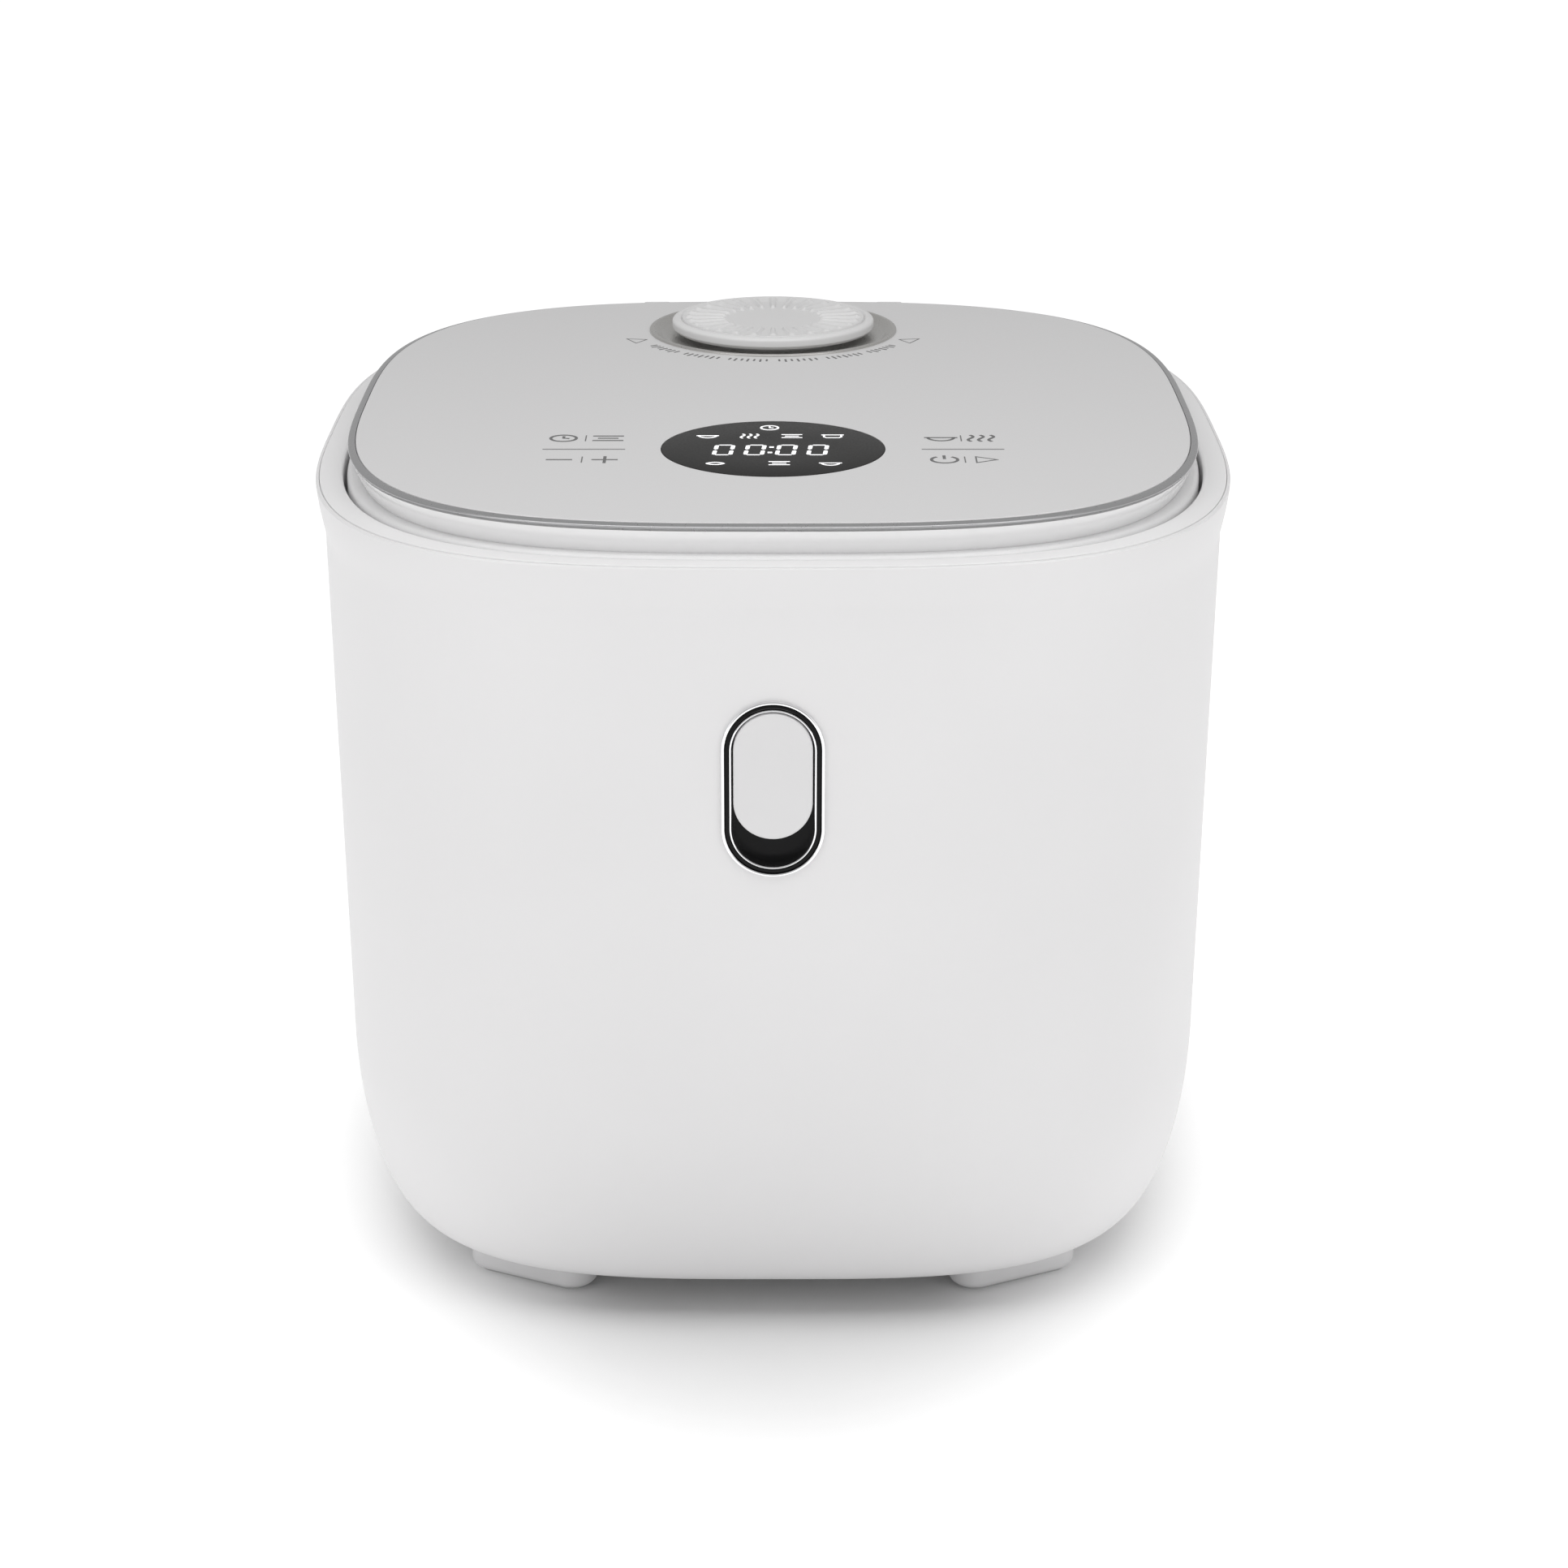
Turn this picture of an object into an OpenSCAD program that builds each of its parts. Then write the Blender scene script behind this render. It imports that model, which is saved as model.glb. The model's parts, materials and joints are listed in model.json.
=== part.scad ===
// Countertop rice cooker: casing, hinged lid, pot, heater, thermostat, electronics and lid catch.
// Origin at the middle of the footprint on the table; +Z up, the front faces -Y, the lid hinges at +Y.

/* [Casing] */
// Width over the rim
rim_w = 245; // [230:1:300]
// Depth over the rim
rim_d = 277; // [262:1:330]
// Height from the casing's underside to the rim's top
case_h = 201.5; // [192:0.5:245]
// Height of the feet
foot_h = 10.2; // [6:0.1:14]
// Casing wall thickness
wall_t = 2.2; // [1.6:0.1:2.6]
// Corner sharpness of the rim's outline (2 is an ellipse)
rim_exp = 3.1; // [2.8:0.1:4]
// Corner sharpness of the wall's outline
wall_exp = 3.4; // [3.1:0.1:4.4]
// How far the collar flares out of the wall
flare = 2.8; // [1.5:0.1:4]
// Height of the flared collar
flare_h = 11.5; // [8:0.5:16]
// Draft of the wall in degrees
draft = 0.95; // [0:0.05:1.4]
// Height of the rounding at the bottom
round_h = 52; // [40:1:62]
// Width of the rounding at the bottom
round_w = 16; // [12:1:18]
// Width of the flat ring on the rim
ring_w = 7.1; // [6:0.1:9]

/* [Lid] */
// Height of the lid's top above the rim
lid_rise = 8.3; // [7:0.1:12]
// Gap between the lid's skirt and the rim
lid_gap = 1.0; // [0.8:0.1:1.6]
// Depth of the recess that the lid closes into
recess_h = 19; // [17:0.5:26]
// Thickness of the lid's top plate
plate_t = 1.2; // [0.8:0.1:1.6]
// Width of the band round the top plate
band_w = 2.1; // [1.5:0.1:3]
// Radius of the hinge barrels
barrel_r = 3.0; // [2.6:0.1:3.2]
// Radius of the hinge and catch pins
pin_r = 1.5; // [1.2:0.1:1.8]

/* [Display and vent] */
// Radius of the display window
display_r = 29.3; // [24:0.1:33]
// Distance of the display's middle in front of the lid's middle
display_y = 55; // [50:1:70]
// Radius of the vent's bezel
vent_r = 36.8; // [33:0.1:38]
// Distance of the vent's middle behind the lid's middle
vent_y = 88; // [84:1:92]
// Radius of the steam cap
cap_r = 30; // [27:0.1:31]
// Height of the steam cap's top above the lid
cap_rise = 4.3; // [3.5:0.1:7]
// Radius of the valve's tube
tube_r = 11.5; // [9:0.1:12]

/* [Lid release] */
// Height of the release's middle above the casing's underside
release_h = 143.5; // [138:0.5:150]
// Width of the release's bezel
bezel_w = 25.8; // [24:0.1:28]
// Height of the release's bezel
bezel_h = 46.3; // [44:0.1:49]
// Width of the button
button_w = 19.7; // [17:0.1:19.9]
// Height of the button
button_h = 33.0; // [30:0.1:33.4]
// Travel of the button
button_travel = 6; // [4:0.5:6.5]

/* [Pot and heater] */
// Outer radius of the pot
pot_r = 96; // [84:0.5:97]
// Pot wall thickness
pot_t = 1.6; // [1.2:0.1:2.4]
// Radius of the pot's bottom corner
pot_round = 18; // [10:1:24]
// Height of the heating plate's top above the casing's underside
plate_top_h = 41.5; // [40:0.5:46]
// Thickness of the heating plate
heat_t = 8; // [7:0.5:9]
// Radius of the sensor cap
sensor_r = 15.4; // [12:0.1:17]
// Travel of the sensor
sensor_travel = 3; // [2:0.5:4]

/* [Back] */
// Height of the appliance inlet above the casing's underside
inlet_h = 69.5; // [60:0.5:90]
// Width of the condensate cup
dew_w = 68; // [50:1:76]
// Height of the condensate cup
dew_h = 30; // [22:1:32]
// Depth of the condensate cup
dew_d = 14; // [10:0.5:15]

/* [Hidden] */
$fn = 72;
facets = 60;
eps = 0.01;

// Heights
base_z = foot_h;
rim_z = foot_h + case_h;
flare_z = rim_z - flare_h;
round_z = base_z + round_h;
seam_z = base_z + 1;
flange_t = 2.5;
shelf_z = rim_z - recess_h;
shelf_t = 4;
lid_z = rim_z + lid_rise;
deck_z = rim_z + 0.2;
deck_t = 2;
skirt_z = shelf_z + 4;
liner_t = 1.5;
spigot_z = seam_z + 1.5;
pad_t = 0.8;

// Plan sizes
half_w = rim_w / 2;
half_d = rim_d / 2;
hole_in = ring_w;
skirt_in = hole_in + lid_gap;
edge_in = skirt_in + 0.3;
plate_in = edge_in + band_w + 0.15;
flat_in = flare + (flare_z - round_z) * tan(draft) + round_w;
recess_wall_t = 1.3;
spigot_in = flat_in + 4;

// Hinge, catch and posts
hinge_y = half_d - 4.5;
hinge_z = rim_z + 3.8;
knuckle_x = 22;
ear_x = 32;
ear_w = 8;
bore_gap = 0.05;
catch_y = -(half_d - 16);
catch_z = rim_z - 36;
catch_w = 12;
nose_z = shelf_z - 4;
roller_r = 2.5;
striker_lip_y = catch_y + 5;
catch_plate_t = 3;
ear_h = 5;
arm_set_back = 1.6;
arm_t = 2.4;
release_z = base_z + release_h;
roller_z = release_z + 5;
roller_throw = 3.5;
ear_gap = 1;
window_w = 16;
post_r = 4.5;
screw_r = 1.5;
pilot_gap = 0.1;
head_r = 3.2;

// Feet: each is a capsule in plan between two centres
foot_r = 7;
foot_round = 2.4;
foot_steps = 12;
foot_out = [half_w - flat_in - 26.5, half_d - flat_in - 27.6];
foot_in = [half_w - flat_in - 47.1, half_d - flat_in - 17.3];
post_at = (foot_out + foot_in) / 2;
screw_head_z = 4;
screw_head_t = 2;
screw_bite = 14;

// Pot, can and heater
can_t = 0.8;
can_r = pot_r + 3.7;
pot_hole_r = pot_r + 1.6;
pot_flange_r = pot_r + 7;
pot_flange_t = 1.6;
can_flange_r = can_r + 6.8;
heat_z = base_z + plate_top_h;
heat_r = pot_r - pot_round;
can_floor_z = heat_z - heat_t - 7.2 - can_t;
can_hole_r = heat_r - 18;
element_ring_r = heat_r - 26;
element_r = 3.6;
element_gap = 28;
spacer_ring_r = heat_r - 10;
sensor_gap = 0.2;
sensor_skin = 1.4;
sensor_cup_h = sensor_travel + 11;
sensor_cup_t = 1.2;
can_screw_ring_r = can_r + 3.6;
inner_lid_r = pot_r - pot_t - 2.4;
inner_lid_z = shelf_z - 1.8;

// Electronics
board_w = 96;
board_d = 46;
board_y = -element_ring_r * cos(element_gap + 3) + 2.1 - board_d / 2;
board_t = 1.6;
standoff_h = 6;
board_z = spigot_z + standoff_h;
part_z = board_z + board_t;
terminal_y = board_y + 13;
terminal_d = 8;

// Appliance inlet and condensate cup in the back
inlet_z = base_z + inlet_h;
inlet_body_d = 19.8;
inlet_in = wall_y(inlet_z) - inlet_body_d;
dew_z = shelf_z - 39;
dew_wall = 1.5;
dew_gap = 0.3;
dew_y1 = wall_y(dew_z + dew_h) - 0.2;
dew_y0 = dew_y1 - dew_d - 1.4;

// Release stack, measured from the wall's face: inward is positive
well_w = bezel_w - 1.7;
well_h = bezel_h - 1.7;
trim_w = well_w - 2.2;
trim_h = well_h - 2.4;
trim_t = 0.6;
well_floor = 3.5;
well_floor_t = 2;
button_top = (trim_h - 2 * trim_t) / 2 - 0.5;
button_z = button_top - button_h / 2;
slider_y = well_floor + well_floor_t + 0.5;
slider_t = 2;
slider_low = -6;
slider_high = 16;
spring_low = -20;
spring_y = slider_y + 2.9;
rail_x = 10;
rail_top = 16.5;
roller_gap = 0.35;
fit_gap = 0.05;

// Display parts
lens_t = 1.3;
display_board_z = lid_z - plate_t - 3.6;
display_board_t = 1.6;
lid_post = [half_w - 34.5, half_d - 43.5];

// Valve: the tube is set forward of the cap, inside the pot's mouth
neck_r = cap_r - 7.7;
well_r = neck_r + 0.5;
tube_inset = 0.6;
tube_y = min(vent_y - (neck_r - 0.8 - tube_inset - tube_r), inner_lid_r - tube_r - 1.9);
valve_z = lid_z - 15.3;

function signed_power(v, e) = sign(v) * pow(abs(v), e);

// Superellipse outline |x/a|^n + |y/b|^n = 1
function outline(a, b, n) = [
  for (i = [0 : facets - 1])
    let (t = 360 * i / facets)
      [a * signed_power(cos(t), 2 / n), b * signed_power(sin(t), 2 / n)]
];

// A section is [height, inset from the rim, exponent]
function section_points(s) = [
  for (p = outline(half_w - s[1], half_d - s[1], s[2])) [p[0], p[1], s[0]]
];

// Inset of the casing's outer face at height z
function case_in(z) =
  z >= flare_z ? flare * pow(1 - (z - flare_z) / flare_h, 1.35)
  : z >= round_z ? flare + (flare_z - z) * tan(draft)
  : flat_in - round_w * sqrt(max(0, 1 - pow((round_z - z) / round_h, 2)));

// Exponent of the casing's outline at height z
function case_exp(z) =
  z <= flare_z ? wall_exp : wall_exp + (rim_exp - wall_exp) * (z - flare_z) / flare_h;

// Distance of the front or back wall's face from the middle at height z
function wall_y(z) = half_d - case_in(z);

// Closed solid through a list of sections, lowest first
module solid_loft(sections) {
  last = len(sections) - 1;
  points = [for (s = sections) each section_points(s)];
  sides = [
    for (k = [0 : last - 1], i = [0 : facets - 1])
      let (a = k * facets + i)
        let (b = k * facets + (i + 1) % facets)
          each [[a, a + facets, b + facets], [a, b + facets, b]]
  ];
  low = [for (i = [0 : facets - 1]) i];
  high = [for (i = [facets - 1 : -1 : 0]) last * facets + i];
  polyhedron(points = points, faces = concat([low], sides, [high]));
}

// Closed ring through a loop of sections: up the outside, down the inside
module ring_loft(sections) {
  count = len(sections);
  points = [for (s = sections) each section_points(s)];
  sides = [
    for (k = [0 : count - 1], i = [0 : facets - 1])
      let (m = (k + 1) % count)
        let (j = (i + 1) % facets)
          each [
            [k * facets + i, m * facets + i, m * facets + j],
            [k * facets + i, m * facets + j, k * facets + j]
          ]
  ];
  polyhedron(points = points, faces = sides);
}

// Flat plate with the rim's kind of outline
module plate(inset, z, t) {
  translate([0, 0, z]) linear_extrude(t) polygon(outline(half_w - inset, half_d - inset, rim_exp));
}

// Coil spring standing on z = 0: wire of radius r at radius ring_r
module coil(ring_r, r, turns, h) {
  sides = 8;
  steps = turns * 12;
  points = [
    for (k = [0 : steps], j = [0 : sides - 1])
      let (phi = 360 * turns * k / steps)
        let (out = ring_r + r * cos(360 * j / sides))
          [out * cos(phi), out * sin(phi), r + (h - 2 * r) * k / steps + r * sin(360 * j / sides)]
  ];
  skin = [
    for (k = [0 : steps - 1], j = [0 : sides - 1])
      let (m = (j + 1) % sides)
        each [
          [k * sides + j, (k + 1) * sides + m, (k + 1) * sides + j],
          [k * sides + j, k * sides + m, (k + 1) * sides + m]
        ]
  ];
  first = [for (j = [sides - 1 : -1 : 0]) j];
  end = [for (j = [0 : sides - 1]) steps * sides + j];
  polyhedron(points = points, faces = concat([first], skin, [end]));
}

// Direction of a route at its point k
function heading(route, k) =
  let (v = route[min(k + 1, len(route) - 1)] - route[max(k - 1, 0)]) v / norm(v);

// Wire along a route that never runs along X: a ring of points round each of its points
module wire(route, r) {
  sides = 8;
  last = len(route) - 1;
  points = [
    for (k = [0 : last], j = [0 : sides - 1])
      let (t = heading(route, k))
        let (across = cross(t, [1, 0, 0]))
          let (u = across / norm(across))
            route[k] + r * (u * cos(360 * j / sides) + cross(t, u) * sin(360 * j / sides))
  ];
  skin = [
    for (k = [0 : last - 1], j = [0 : sides - 1])
      let (m = (j + 1) % sides)
        each [
          [k * sides + j, (k + 1) * sides + j, (k + 1) * sides + m],
          [k * sides + j, (k + 1) * sides + m, k * sides + m]
        ]
  ];
  first = [for (j = [0 : sides - 1]) j];
  end = [for (j = [sides - 1 : -1 : 0]) last * sides + j];
  polyhedron(points = points, faces = concat([first], skin, [end]));
}

module capsule_plan(w, h) {
  for (s = [-1, 1]) translate([0, s * (h - w) / 2]) circle(d = w);
  square([w, h - w], center = true);
}

// Capsule standing in the wall from depth y0 to y1
module capsule(w, h, y0, y1) {
  translate([0, y1, 0]) rotate([90, 0, 0]) linear_extrude(y1 - y0) capsule_plan(w, h);
}

// Box from its low corner to its high corner
module block(low, high) {
  translate(low) cube(high - low);
}

// Rod along X
module rod_x(x0, x1, y, z, r) {
  translate([x0, y, z]) rotate([0, 90, 0]) cylinder(r = r, h = x1 - x0);
}

// Places children on the front wall at height z, leaning with its draft
module on_front_wall(z) {
  translate([0, -wall_y(z), z]) rotate([draft, 0, 0]) children();
}

module on_back_wall(z) {
  translate([0, wall_y(z), z]) rotate([-draft, 0, 0]) children();
}

module at_corners(p) {
  for (sx = [-1, 1], sy = [-1, 1]) translate([sx * p[0], sy * p[1], 0]) children();
}

// Outline of a foot: a capsule between its two centres, grown by g, in counterclockwise order
function foot_outline(sx, sy, g) =
  let (turn = sx * sy > 0)
    let (a = turn ? foot_out : foot_in)
      let (b = turn ? foot_in : foot_out)
        let (from = [sx * a[0], sy * a[1]])
          let (to = [sx * b[0], sy * b[1]])
            let (v = to - from)
              let (start = atan2(v[1], v[0]) + 90)
                [
                  for (k = [0 : 2 * foot_steps + 1])
                    let (late = k > foot_steps ? 1 : 0)
                      let (phi = start + 180 * (k - late) / foot_steps)
                        (late == 0 ? from : to) + (foot_r + g) * [cos(phi), sin(phi)]
                ];

// Foot with a rounded lower edge
module foot(sx, sy) {
  levels = concat(
    [for (a = [0 : 18 : 90]) [pad_t + foot_round * (1 - cos(a)), -foot_round * (1 - sin(a))]],
    [[base_z + eps, 0]]
  );
  count = 2 * foot_steps + 2;
  last = len(levels) - 1;
  points = [for (l = levels, p = foot_outline(sx, sy, l[1])) [p[0], p[1], l[0]]];
  sides = [
    for (k = [0 : last - 1], i = [0 : count - 1])
      let (a = k * count + i)
        let (b = k * count + (i + 1) % count)
          each [[a, a + count, b + count], [a, b + count, b]]
  ];
  low = [for (i = [0 : count - 1]) i];
  high = [for (i = [count - 1 : -1 : 0]) last * count + i];
  polyhedron(points = points, faces = concat([low], sides, [high]));
}

// ---------- casing ----------

module body_shell() {
  outer = [for (z = [seam_z, base_z + 2.5, base_z + 5, base_z + 9, base_z + 15, base_z + 23, base_z + 34,
    round_z, flare_z, flare_z + 2.5, flare_z + 5, flare_z + 8, rim_z - 0.3]) z];
  low_z = base_z + wall_t;
  inner = [for (z = [flare_z, round_z, base_z + 34, base_z + 23, base_z + 15, base_z + 9, base_z + 5]) z];
  top_in = 0.9;
  color([0.93, 0.93, 0.93])
    difference() {
      ring_loft(concat(
        [for (z = outer) [z, case_in(z), case_exp(z)]],
        [[rim_z - 0.3, top_in, rim_exp], [rim_z - flange_t, top_in, rim_exp]],
        [[rim_z - flange_t, top_in + wall_t, rim_exp]],
        [for (z = inner) [z, case_in(z) + wall_t, case_exp(z)]],
        [[low_z, spigot_in, wall_exp], [seam_z, spigot_in, wall_exp]]
      ));
      on_front_wall(release_z) capsule(bezel_w - 0.6, bezel_h - 0.6, -4, 6);
      on_back_wall(inlet_z) block([-13.9, -6, -10.3], [13.9, 4, 10.3]);
      dew_space(0.8, half_d - dew_d);
    }
}

// The condensate cup's space, grown by g on every side and open at the back
module dew_space(g, y0) {
  block([-dew_w / 2 - g, y0, dew_z - g], [dew_w / 2 + g, half_d, dew_z + dew_h + g]);
}

module rim_frame() {
  shelf_low = shelf_z - shelf_t;
  pocket = dew_gap + dew_wall;
  color([0.9, 0.9, 0.9])
    difference() {
      union() {
        difference() {
          plate(1.0, rim_z - flange_t, flange_t);
          plate(hole_in, rim_z - flange_t - eps, flange_t + 2 * eps);
        }
        difference() {
          plate(hole_in - recess_wall_t, shelf_low, recess_h - flange_t + shelf_t);
          plate(hole_in, shelf_z, recess_h);
          translate([0, 0, shelf_low - 1]) cylinder(r = pot_hole_r, h = shelf_t + 2, $fn = 120);
        }
        at_corners(post_at)
          translate([0, 0, spigot_z]) cylinder(r = post_r, h = shelf_low - spigot_z + eps);
        for (s = [-1, 1]) {
          x0 = s * (catch_w / 2 + ear_gap + catch_plate_t / 2) - catch_plate_t / 2;
          block([x0, catch_y - 4, catch_z - ear_h], [x0 + catch_plate_t, catch_y + 4, shelf_low + eps]);
          xh = s * (ear_x + ear_w / 2) - ear_w / 2;
          rod_x(xh, xh + ear_w, hinge_y, hinge_z, barrel_r);
          block([xh, hinge_y - 2, rim_z - 1], [xh + ear_w, hinge_y + 1.5, hinge_z]);
        }
        block(
          [-dew_w / 2 - pocket, dew_y0 - pocket, dew_z - pocket],
          [dew_w / 2 + pocket, wall_y(dew_z) - wall_t - 1, shelf_low + eps]
        );
      }
      block([-window_w / 2, catch_y - 7, shelf_low - 1], [window_w / 2, catch_y + 12.5, shelf_z + 1]);
      rod_x(-20, 20, catch_y, catch_z, pin_r + bore_gap);
      rod_x(-ear_x - ear_w - 1, ear_x + ear_w + 1, hinge_y, hinge_z, pin_r + bore_gap);
      at_corners(post_at)
        translate([0, 0, spigot_z - 1]) cylinder(r = screw_r + pilot_gap, h = screw_bite + 3);
      dew_space(dew_gap, dew_y0 - dew_gap);
      at_can_screws() translate([0, 0, shelf_low - 1]) cylinder(r = 1.1, h = 4);
    }
}

module at_can_screws() {
  for (a = [0 : 90 : 270]) rotate(a) translate([can_screw_ring_r, 0, 0]) children();
}

module at_spacers() {
  for (a = [30 : 120 : 270]) rotate(a) translate([spacer_ring_r, 0, 0]) children();
}

module base_plate() {
  color([0.9, 0.9, 0.9])
    difference() {
      union() {
        solid_loft([for (z = [base_z, base_z + 0.25, base_z + 0.6, seam_z]) [z, case_in(z), wall_exp]]);
        plate_wall(spigot_in + 0.4, seam_z - eps, spigot_z - seam_z + eps);
        for (sx = [-1, 1], sy = [-1, 1]) foot(sx, sy);
        for (sx = [-1, 1], sy = [-1, 1])
          translate([sx * (board_w / 2 - 5), board_y + sy * (board_d / 2 - 5), spigot_z - eps])
            cylinder(r = 3, h = standoff_h + eps);
      }
      at_corners(post_at) {
        translate([0, 0, -1]) cylinder(r = head_r + 0.5, h = screw_head_z + screw_head_t + 1);
        cylinder(r = screw_r + 0.3, h = spigot_z + 1);
      }
      for (k = [-4 : 4])
        translate([k * 9, 45, base_z + 1]) cube([3, 44, 12], center = true);
    }
}

// Flat plate with the wall's kind of outline
module plate_wall(inset, z, t) {
  translate([0, 0, z]) linear_extrude(t) polygon(outline(half_w - inset, half_d - inset, wall_exp));
}

module foot_pads() {
  color([0.75, 0.75, 0.75])
    difference() {
      for (sx = [-1, 1], sy = [-1, 1]) linear_extrude(pad_t) polygon(foot_outline(sx, sy, -foot_round));
      at_corners(post_at) translate([0, 0, -1]) cylinder(r = head_r + 0.5, h = 3);
    }
}

module base_screws() {
  color("silver")
    at_corners(post_at) {
      translate([0, 0, screw_head_z]) cylinder(r = head_r, h = screw_head_t);
      translate([0, 0, screw_head_z + screw_head_t - eps])
        cylinder(r = screw_r, h = spigot_z + screw_bite - screw_head_z - screw_head_t);
    }
}

// ---------- can, pot and heater ----------

module inner_can() {
  top = shelf_z - shelf_t;
  color([0.75, 0.76, 0.78])
    difference() {
      rotate_extrude($fn = 120) polygon([
        [can_hole_r, can_floor_z], [can_r + can_t, can_floor_z], [can_r + can_t, top - can_t],
        [can_flange_r, top - can_t], [can_flange_r, top], [can_r, top],
        [can_r, can_floor_z + can_t], [can_hole_r, can_floor_z + can_t]
      ]);
      at_can_screws() translate([0, 0, top - 2]) cylinder(r = 1.3, h = 4);
      at_spacers() translate([0, 0, can_floor_z - 1]) cylinder(r = 1.7, h = 3);
    }
}

module can_screws() {
  z = shelf_z - shelf_t - can_t;
  color("silver")
    at_can_screws() {
      translate([0, 0, z - 1.4]) cylinder(r = 2.3, h = 1.4);
      translate([0, 0, z - eps]) cylinder(r = 1, h = can_t + 2.8);
    }
}

module heating_plate() {
  color([0.8, 0.8, 0.82])
    difference() {
      translate([0, 0, heat_z - heat_t]) cylinder(r = heat_r, h = heat_t, $fn = 120);
      translate([0, 0, heat_z - heat_t - 1]) cylinder(r = sensor_r + 2.6, h = heat_t + 2);
      translate([0, 0, heat_z - heat_t])
        rotate_extrude($fn = 120) translate([element_ring_r, 0]) circle(r = element_r + 0.15, $fn = 48);
      at_spacers() translate([0, 0, heat_z - heat_t - 1]) cylinder(r = 1.6, h = 6);
    }
}

module heater_element() {
  color([0.45, 0.45, 0.47])
    translate([0, 0, heat_z - heat_t]) {
      rotate(element_gap - 90)
        rotate_extrude(angle = 360 - 2 * element_gap, $fn = 120)
          translate([element_ring_r, 0]) circle(r = element_r, $fn = 48);
      for (s = [-1, 1])
        rotate(-90 + s * (element_gap + 3)) translate([element_ring_r, 0, -12]) cylinder(r = 1.6, h = 12);
    }
}

module plate_spacers() {
  low = can_floor_z + can_t;
  color("white")
    at_spacers()
      translate([0, 0, low])
        difference() {
          cylinder(r = 5, h = heat_z - heat_t - low);
          translate([0, 0, -1]) cylinder(r = 1.7, h = 12);
        }
}

module plate_screws() {
  color("silver")
    at_spacers() {
      translate([0, 0, can_floor_z - 2]) cylinder(r = 3, h = 2);
      translate([0, 0, can_floor_z - eps]) cylinder(r = 1.5, h = heat_z - heat_t + 4 - can_floor_z);
    }
}

module sensor_cup() {
  top = heat_z - heat_t;
  low = top - sensor_cup_h;
  side = sensor_r + 0.8;
  rim = sensor_r + 9;
  color([0.7, 0.7, 0.72])
    rotate_extrude() polygon([
      [3, low], [side + sensor_cup_t, low], [side + sensor_cup_t, top - sensor_cup_t],
      [rim, top - sensor_cup_t], [rim, top], [side, top], [side, low + sensor_cup_t], [3, low + sensor_cup_t]
    ]);
}

module sensor_cap() {
  top = heat_z - sensor_gap;
  stem_low = heat_z - heat_t - sensor_cup_h - 3;
  stem_r = 2.4;
  inner_r = sensor_r - 1.2;
  color([0.85, 0.85, 0.87])
    rotate_extrude() polygon([
      [0, stem_low], [stem_r, stem_low], [stem_r, top - sensor_skin], [inner_r, top - sensor_skin],
      [inner_r, top - 7], [sensor_r, top - 7], [sensor_r, top - 0.8], [sensor_r - 0.8, top], [0, top]
    ]);
}

module sensor_spring() {
  low = heat_z - heat_t - sensor_cup_h + sensor_cup_t;
  color("silver")
    translate([0, 0, low]) coil(9, 0.6, 6, heat_z - sensor_gap - sensor_skin - low);
}

module fuse_clip() {
  y = can_hole_r + 9;
  color([0.7, 0.7, 0.72])
    difference() {
      block([-5, y - 5, can_floor_z - 8], [5, y + 5, can_floor_z]);
      rod_x(-6, 6, y, can_floor_z - 4, 3.05);
    }
}

module thermal_fuse() {
  color([0.85, 0.8, 0.7])
    union() {
      rod_x(-11, 11, can_hole_r + 9, can_floor_z - 4, 3);
      rod_x(-24, 24, can_hole_r + 9, can_floor_z - 4, 0.6);
    }
}

// Outline of a bowl's wall in the radius-height plane, with a rounded bottom corner
function bowl_profile(r, t, corner, low, high) = concat(
  [[0, low]],
  [for (a = [0 : 15 : 90]) [r - corner + corner * sin(a), low + corner - corner * cos(a)]],
  [[r, high], [r - t, high]],
  [for (a = [90 : -15 : 0]) [r - corner + (corner - t) * sin(a), low + corner - (corner - t) * cos(a)]],
  [[0, low + t]]
);

module inner_pot() {
  color([0.3, 0.3, 0.32])
    union() {
      rotate_extrude($fn = 120)
        polygon(bowl_profile(pot_r, pot_t, pot_round, heat_z, shelf_z + pot_flange_t));
      translate([0, 0, shelf_z])
        rotate_extrude($fn = 120)
          polygon([
            [pot_r - 0.2, 0], [pot_flange_r, 0], [pot_flange_r, pot_flange_t], [pot_r - 0.2, pot_flange_t]
          ]);
    }
}

module sugar_basket() {
  r = pot_r - 9;
  low = heat_z + 28;
  color([0.78, 0.79, 0.8])
    difference() {
      union() {
        rotate_extrude($fn = 120) polygon(bowl_profile(r, 0.9, 14, low, low + 84));
        for (a = [45 : 90 : 315])
          rotate(a) translate([r - 26, 0, heat_z + pot_t]) cylinder(r = 4, h = low - heat_z - pot_t + 0.5);
      }
      for (ring = [1 : 3], k = [0 : 8 * ring - 1])
        rotate(k * 45 / ring + 10) translate([ring * 15, 0, low - 1]) cylinder(r = 2, h = 3, $fn = 16);
    }
}

// ---------- electronics and inlet ----------

module power_board() {
  color([0.2, 0.45, 0.25])
    block(
      [-board_w / 2, board_y - board_d / 2, board_z],
      [board_w / 2, board_y + board_d / 2, board_z + board_t]
    );
}

module transformer() {
  color([0.85, 0.75, 0.3])
    union() {
      block([-44, board_y - 14, part_z], [-16, board_y + 12, part_z + 4]);
      block([-40, board_y - 10, part_z], [-20, board_y + 8, part_z + 13]);
    }
}

module relay() {
  color([0.15, 0.25, 0.5])
    block([-6, board_y - 16, part_z], [14, board_y - 2, part_z + 12]);
}

module capacitors() {
  color([0.2, 0.2, 0.25])
    for (k = [0 : 2])
      translate([24 + 9 * (k % 2), board_y - 14 + 11 * k, part_z]) cylinder(r = 4, h = 11);
}

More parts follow.
